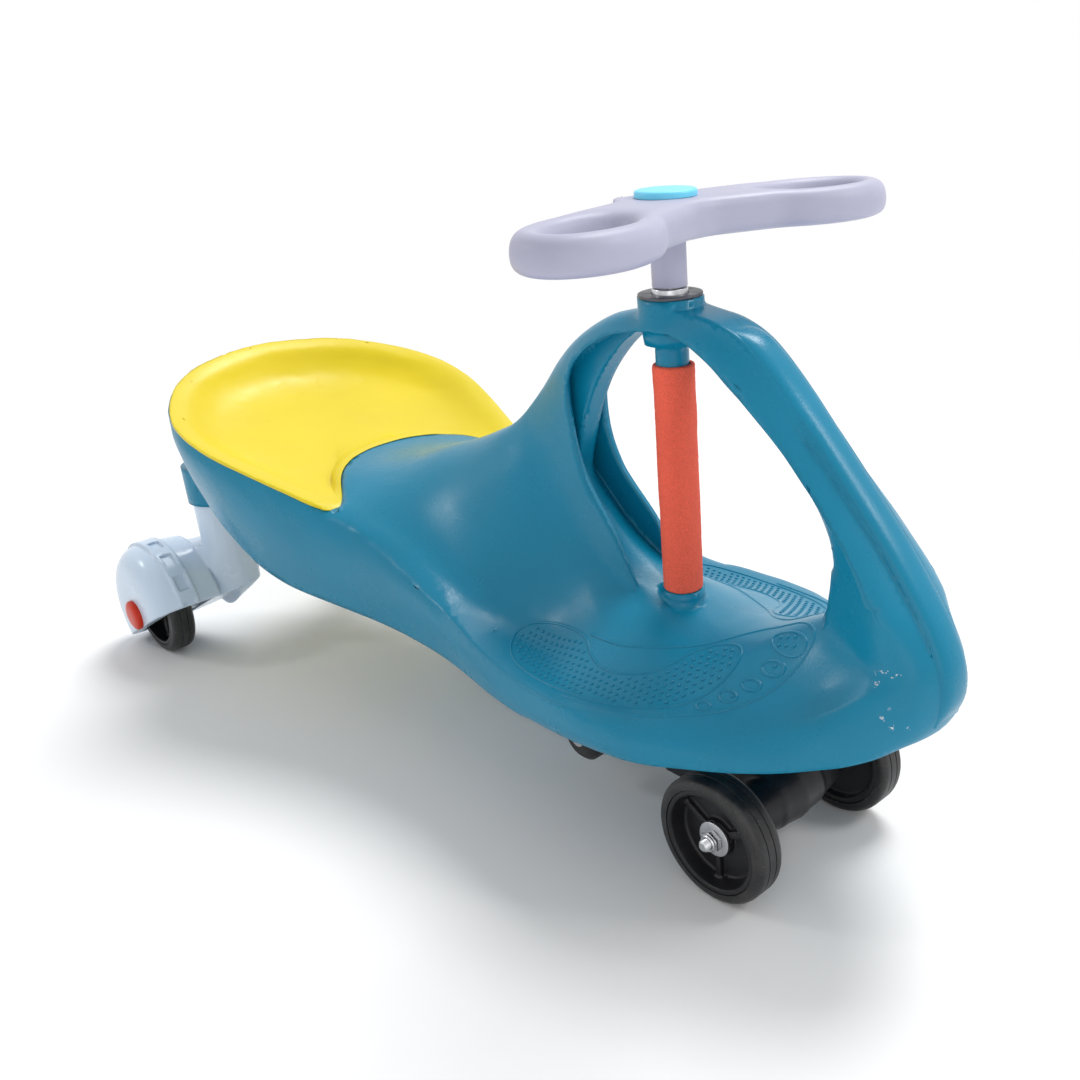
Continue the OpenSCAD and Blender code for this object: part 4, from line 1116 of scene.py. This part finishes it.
@dataclass
class Truck:
    """The front truck with its axles, nuts, washers and balance wheels."""

    cast: SoftCast = SoftCast(1.2 * MM, 2, 6, 18.0, 0.6)
    thread: float = 1.25 * MM
    thread_long: float = 14.0 * MM
    thread_deep: float = 0.6 * MM
    axle_chamfer: float = 1.4 * MM
    collar: float = 2.0 * MM
    collar_form: tuple[Point, ...] = ((0.0, 0.46), (0.6, 0.45), (1.0, 0.4))
    collar_sink: float = 0.2 * MM
    collar_lip: float = 0.3 * MM
    nut_play: float = 0.05 * MM
    nut_round: float = 0.5 * MM

    def build(self) -> None:
        """Build and dress the truck."""
        seat(self.cast.cast("truck_frame", "front_truck"), Body.STEERING, BLACK, "front_truck")
        seat(recut("truck_thrust_ring", "thrust_washer"), Body.STEERING, WHITE, "thrust_washer")
        for node in ("balance_axle", "balance_clips"):
            seat(recut("truck_" + node, node), Body.STEERING, ZINC, node)
        seat(rounded("truck_washers", "axle_washers", 0.35 * MM, 2), Body.STEERING, ZINC, "axle_washers")
        seat(self._axle(), Body.STEERING, ZINC, "front_axle")
        seat(self._nuts(), Body.STEERING, ZINC, "axle_nuts")
        for side, body in ((Side.RIGHT, Body.BALANCE_RIGHT), (Side.LEFT, Body.BALANCE_LEFT)):
            node = "balance_wheel_" + side.word
            seat(rounded("roller_" + side.word, node, 1.2 * MM, 3), body, TYRE, node)

    def _axle(self) -> bpy.types.Object:
        """Turn the front axle with threaded ends.

        Returns:
            The axle.
        """
        low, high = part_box("front_axle")
        radius = (high.z - low.z) / 2
        turns = int(self.thread_long / self.thread)
        crest = [(self.thread_deep + k * self.thread / 2, radius - (0.0 if k % 2 else self.thread_deep))
                 for k in range(turns * 2)]
        end = [(0, 0), (0, radius - self.axle_chamfer), *crest]
        lathe = Lathe(on_axle(low, high, low.y), SPREAD, 40)
        return new_piece("truck_axle", lathe.turn([*end, *far_end(end, high.y - low.y)], closed=False), 25.0)

    def _nuts(self) -> bpy.types.Object:
        """Build the two hexagon nuts, each with a turned collar.

        Returns:
            The nuts.
        """
        low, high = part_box("axle_nuts")
        axle_low, axle_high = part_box("front_axle")
        bore = (axle_high.z - axle_low.z) / 2
        flats = high.z - low.z
        across = flats / math.cos(math.pi / 6) / 2
        thick = high.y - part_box("axle_washers")[1].y
        whole = bpy.data.meshes.new("nut")
        bm = bmesh.new()
        inner_face = high.y - thick
        for side in Side:
            part = bmesh.new()
            bmesh.ops.create_circle(part, cap_ends=False, radius=across, segments=6)
            bmesh.ops.create_circle(part, cap_ends=False, radius=bore + self.nut_play, segments=36)
            bmesh.ops.bridge_loops(part, edges=part.edges[:])
            lift = bmesh.ops.extrude_face_region(part, geom=part.faces[:])
            tops = [v for v in lift["geom"] if isinstance(v, bmesh.types.BMVert)]
            bmesh.ops.translate(part, verts=tops, vec=(0, 0, thick - self.collar))
            bmesh.ops.recalc_face_normals(part, faces=part.faces)
            break_edges(part, self.nut_round, 2, 45.0)
            form = [(self.collar * along, flats * wide) for along, wide in self.collar_form]
            collar = Lathe(UP * (thick - self.collar - self.collar_sink), UP, 48).turn(
                [(0, bore + self.nut_play), *form, (self.collar, bore + self.collar_lip)])
            collar.to_mesh(whole)
            collar.free()
            part.from_mesh(whole)
            turn = Matrix.Rotation(-side.value * math.pi / 2, 4, "X")
            put = Matrix.Translation(on_axle(low, high, side.value * inner_face)) @ turn
            bmesh.ops.transform(part, matrix=put, verts=part.verts)
            part.to_mesh(whole)
            part.free()
            bm.from_mesh(whole)
        bpy.data.meshes.remove(whole)
        return new_piece("truck_nuts", bm, 30.0)


@dataclass
class RearPods:
    """The two domed pods with their axles, caps and screws."""

    cast: FairCast = FairCast(3.5 * MM, 60, 40, 0.3, 40.0)
    cap_dome: float = 3.4 * MM
    cap_spread: float = 1.22
    cap_power: float = 0.6

    def build(self) -> None:
        """Build and dress both pods."""
        for side in Side:
            tail = "_" + side.word
            seat(self.cast.cast("pod_shell" + tail, "rear_pod" + tail), Body.CHASSIS, PALE, "rear_pod" + tail)
            seat(recut("pod_axle" + tail, "rear_axle" + tail), Body.CHASSIS, ZINC, "rear_axle" + tail)
            seat(self._cap("pod_cap" + tail, "axle_cap" + tail, side), Body.CHASSIS, ORANGE, "axle_cap" + tail)
        seat(recut("pod_fixings", "pod_screws"), Body.CHASSIS, ZINC, "pod_screws")

    def _cap(self, name: str, node: str, side: Side) -> bpy.types.Object:
        """Turn an axle cap with a domed face.

        Args:
            name: The piece's name.
            node: The CAD node.
            side: The side it is on.

        Returns:
            The cap.
        """
        low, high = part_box(node)
        radius = (high.z - low.z) / 2 * self.cap_spread
        deep = high.y - low.y + self.cap_dome / 2
        back = low.y if side is Side.LEFT else high.y
        rim = deep - self.cap_dome
        dome = [(rim + self.cap_dome * math.sin(a), radius * math.cos(a) ** self.cap_power)
                for a in quarter(10)[:-1]]
        lathe = Lathe(on_axle(low, high, back), SPREAD * side.value, 64)
        return new_piece(name, lathe.turn([(0, 0), (0, radius), *dome, (deep, 0)], closed=False), 35.0)


@dataclass
class Studio:
    """Camera, floor, lamps and world."""

    focal_pixels: float = 1154.0
    picture: float = 1080.0
    sensor: float = 36.0
    sight: float = 200.0
    middle: Point = (650.0, 575.0)
    tilt: float = 24.2
    roll: float = -3.36
    turn: float = 46.16
    stand: tuple[float, float, float] = (0.69055, -0.4988, 0.4913)
    floor_reach: float = 30.0
    floor_grey: float = 0.94
    room_light: float = 0.55
    fade: Point = (0.75, 1.5)
    seen_by: tuple[str, ...] = ("Is Camera Ray", "Is Glossy Ray", "Is Transmission Ray")

    def build(self) -> None:
        """Set up the studio."""
        self._camera()
        self._floor()
        self._world()
        self._lamps()
        bpy.context.scene.view_settings.view_transform = "Standard"

    def _camera(self) -> None:
        """Place the camera at the photograph's angle."""
        tilt, roll, turn = (math.radians(a) for a in (self.tilt, self.roll, self.turn))
        back = Vector((math.sin(turn) * math.cos(tilt), -math.cos(turn) * math.cos(tilt), math.sin(tilt)))
        flat = Vector((math.cos(turn), math.sin(turn), 0))
        rise = back.cross(flat)
        right = flat * math.cos(roll) + rise * math.sin(roll)
        up = rise * math.cos(roll) - flat * math.sin(roll)
        lens = bpy.data.cameras.new("photo_camera")
        lens.sensor_fit = "HORIZONTAL"
        lens.sensor_width = self.sensor
        lens.lens = self.focal_pixels / self.picture * lens.sensor_width
        lens.shift_x = (self.picture / 2 - self.middle[0]) / self.picture
        lens.shift_y = (self.middle[1] - self.picture / 2) / self.picture
        lens.clip_end = self.sight
        camera = bpy.data.objects.new("photo_camera", lens)
        camera.matrix_world = Matrix.Translation(self.stand) @ Matrix((right, up, back)).transposed().to_4x4()
        bpy.context.scene.collection.objects.link(camera)
        bpy.context.scene.camera = camera

    def _floor(self) -> None:
        """Lay the pale floor."""
        bm = bmesh.new()
        bmesh.ops.create_grid(bm, x_segments=8, y_segments=8, size=self.floor_reach)
        floor = new_piece("studio_floor", bm)
        bench = Bench("pale_floor")
        cloud = bench.noise(bench.place(), 3.0, 2.0)
        colour = bench.mix(cloud, (self.floor_grey,) * 3, (self.floor_grey - 0.01,) * 3)
        matt = bench.node("ShaderNodeBsdfPrincipled", None,
                          {"Base Color": colour, "Roughness": 0.9, "Specular IOR Level": 0.0})
        white = bench.node("ShaderNodeEmission", None, {"Color": (1.0, 1.0, 1.0, 1.0), "Strength": 1.0})
        away = bench.node("ShaderNodeVectorMath", {"operation": "LENGTH"}, {0: bench.place()}, "Value")
        rays = [bench.node("ShaderNodeLightPath", output=kind) for kind in self.seen_by]
        far = bench.ramp(away, self.fade[0], self.fade[1]) * (rays[0] + rays[1] + rays[2])
        shader = bench.node("ShaderNodeMixShader", None, {0: far, 1: matt, 2: white})
        floor.data.materials.append(bench.surface(shader))

    def _world(self) -> None:
        """Light the room softly, with a white backdrop."""
        world = bpy.data.worlds.new("studio")
        world.use_nodes = True
        bpy.context.scene.world = world
        tree = world.node_tree
        tree.nodes.clear()
        rays = tree.nodes.new("ShaderNodeLightPath")
        first, either = (tree.nodes.new("ShaderNodeMath") for _ in range(2))
        for share, kind in zip((first.inputs[0], first.inputs[1], either.inputs[1]), self.seen_by):
            tree.links.new(rays.outputs[kind], share)
        tree.links.new(first.outputs[0], either.inputs[0])
        room, white = (tree.nodes.new("ShaderNodeBackground") for _ in range(2))
        for glow, strength in ((room, self.room_light), (white, 1.0)):
            glow.inputs["Color"].default_value = (1.0, 1.0, 1.0, 1.0)
            glow.inputs["Strength"].default_value = strength
        blend = tree.nodes.new("ShaderNodeMixShader")
        out = tree.nodes.new("ShaderNodeOutputWorld")
        tree.links.new(either.outputs[0], blend.inputs[0])
        tree.links.new(room.outputs[0], blend.inputs[1])
        tree.links.new(white.outputs[0], blend.inputs[2])
        tree.links.new(blend.outputs[0], out.inputs["Surface"])

    def _lamps(self) -> None:
        """Hang the sun and the soft boxes."""
        for name, kind, place, aim, size, power in (
                ("high_sun", "SUN", (-0.35, 1.3, 2.3), (0.0, 0.0, 0.1), math.radians(26), 1.9),
                ("arch_box", "AREA", (1.2, 0.7, 1.25), (0.33, 0.0, 0.26), 0.4, 6.0),
                ("front_box", "AREA", (1.9, -1.7, 0.8), (0.1, 0.0, 0.2), 1.4, 6.0),
                ("left_box", "AREA", (-1.5, -1.3, 1.4), (0.0, 0.0, 0.2), 0.3, 5.0)):
            light = bpy.data.lights.new(name, kind)
            light.energy = power
            if kind == "SUN":
                light.angle = size
            else:
                light.shape = "SQUARE"
                light.size = size
            lamp = bpy.data.objects.new(name, light)
            lamp.location = place
            lamp.rotation_euler = (Vector(aim) - Vector(place)).to_track_quat("-Z", "Y").to_euler()
            bpy.context.scene.collection.objects.link(lamp)


def main() -> None:
    """Build the car's pieces in order, then the studio."""
    logging.basicConfig(level=logging.INFO, format="%(name)s: %(message)s")
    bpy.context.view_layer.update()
    assemblies = [Chassis(), Handle(), Truck(), RearPods()]
    for place, side, body in (("front", Side.RIGHT, Body.FRONT_RIGHT), ("front", Side.LEFT, Body.FRONT_LEFT),
                              ("rear", Side.RIGHT, Body.REAR_RIGHT), ("rear", Side.LEFT, Body.REAR_LEFT)):
        assemblies.append(RoadWheel(place, side, body))
    for assembly in assemblies:
        assembly.build()
        LOG.info("%s is built", type(assembly).__name__)
    Studio().build()


if __name__ == "__main__":
    main()
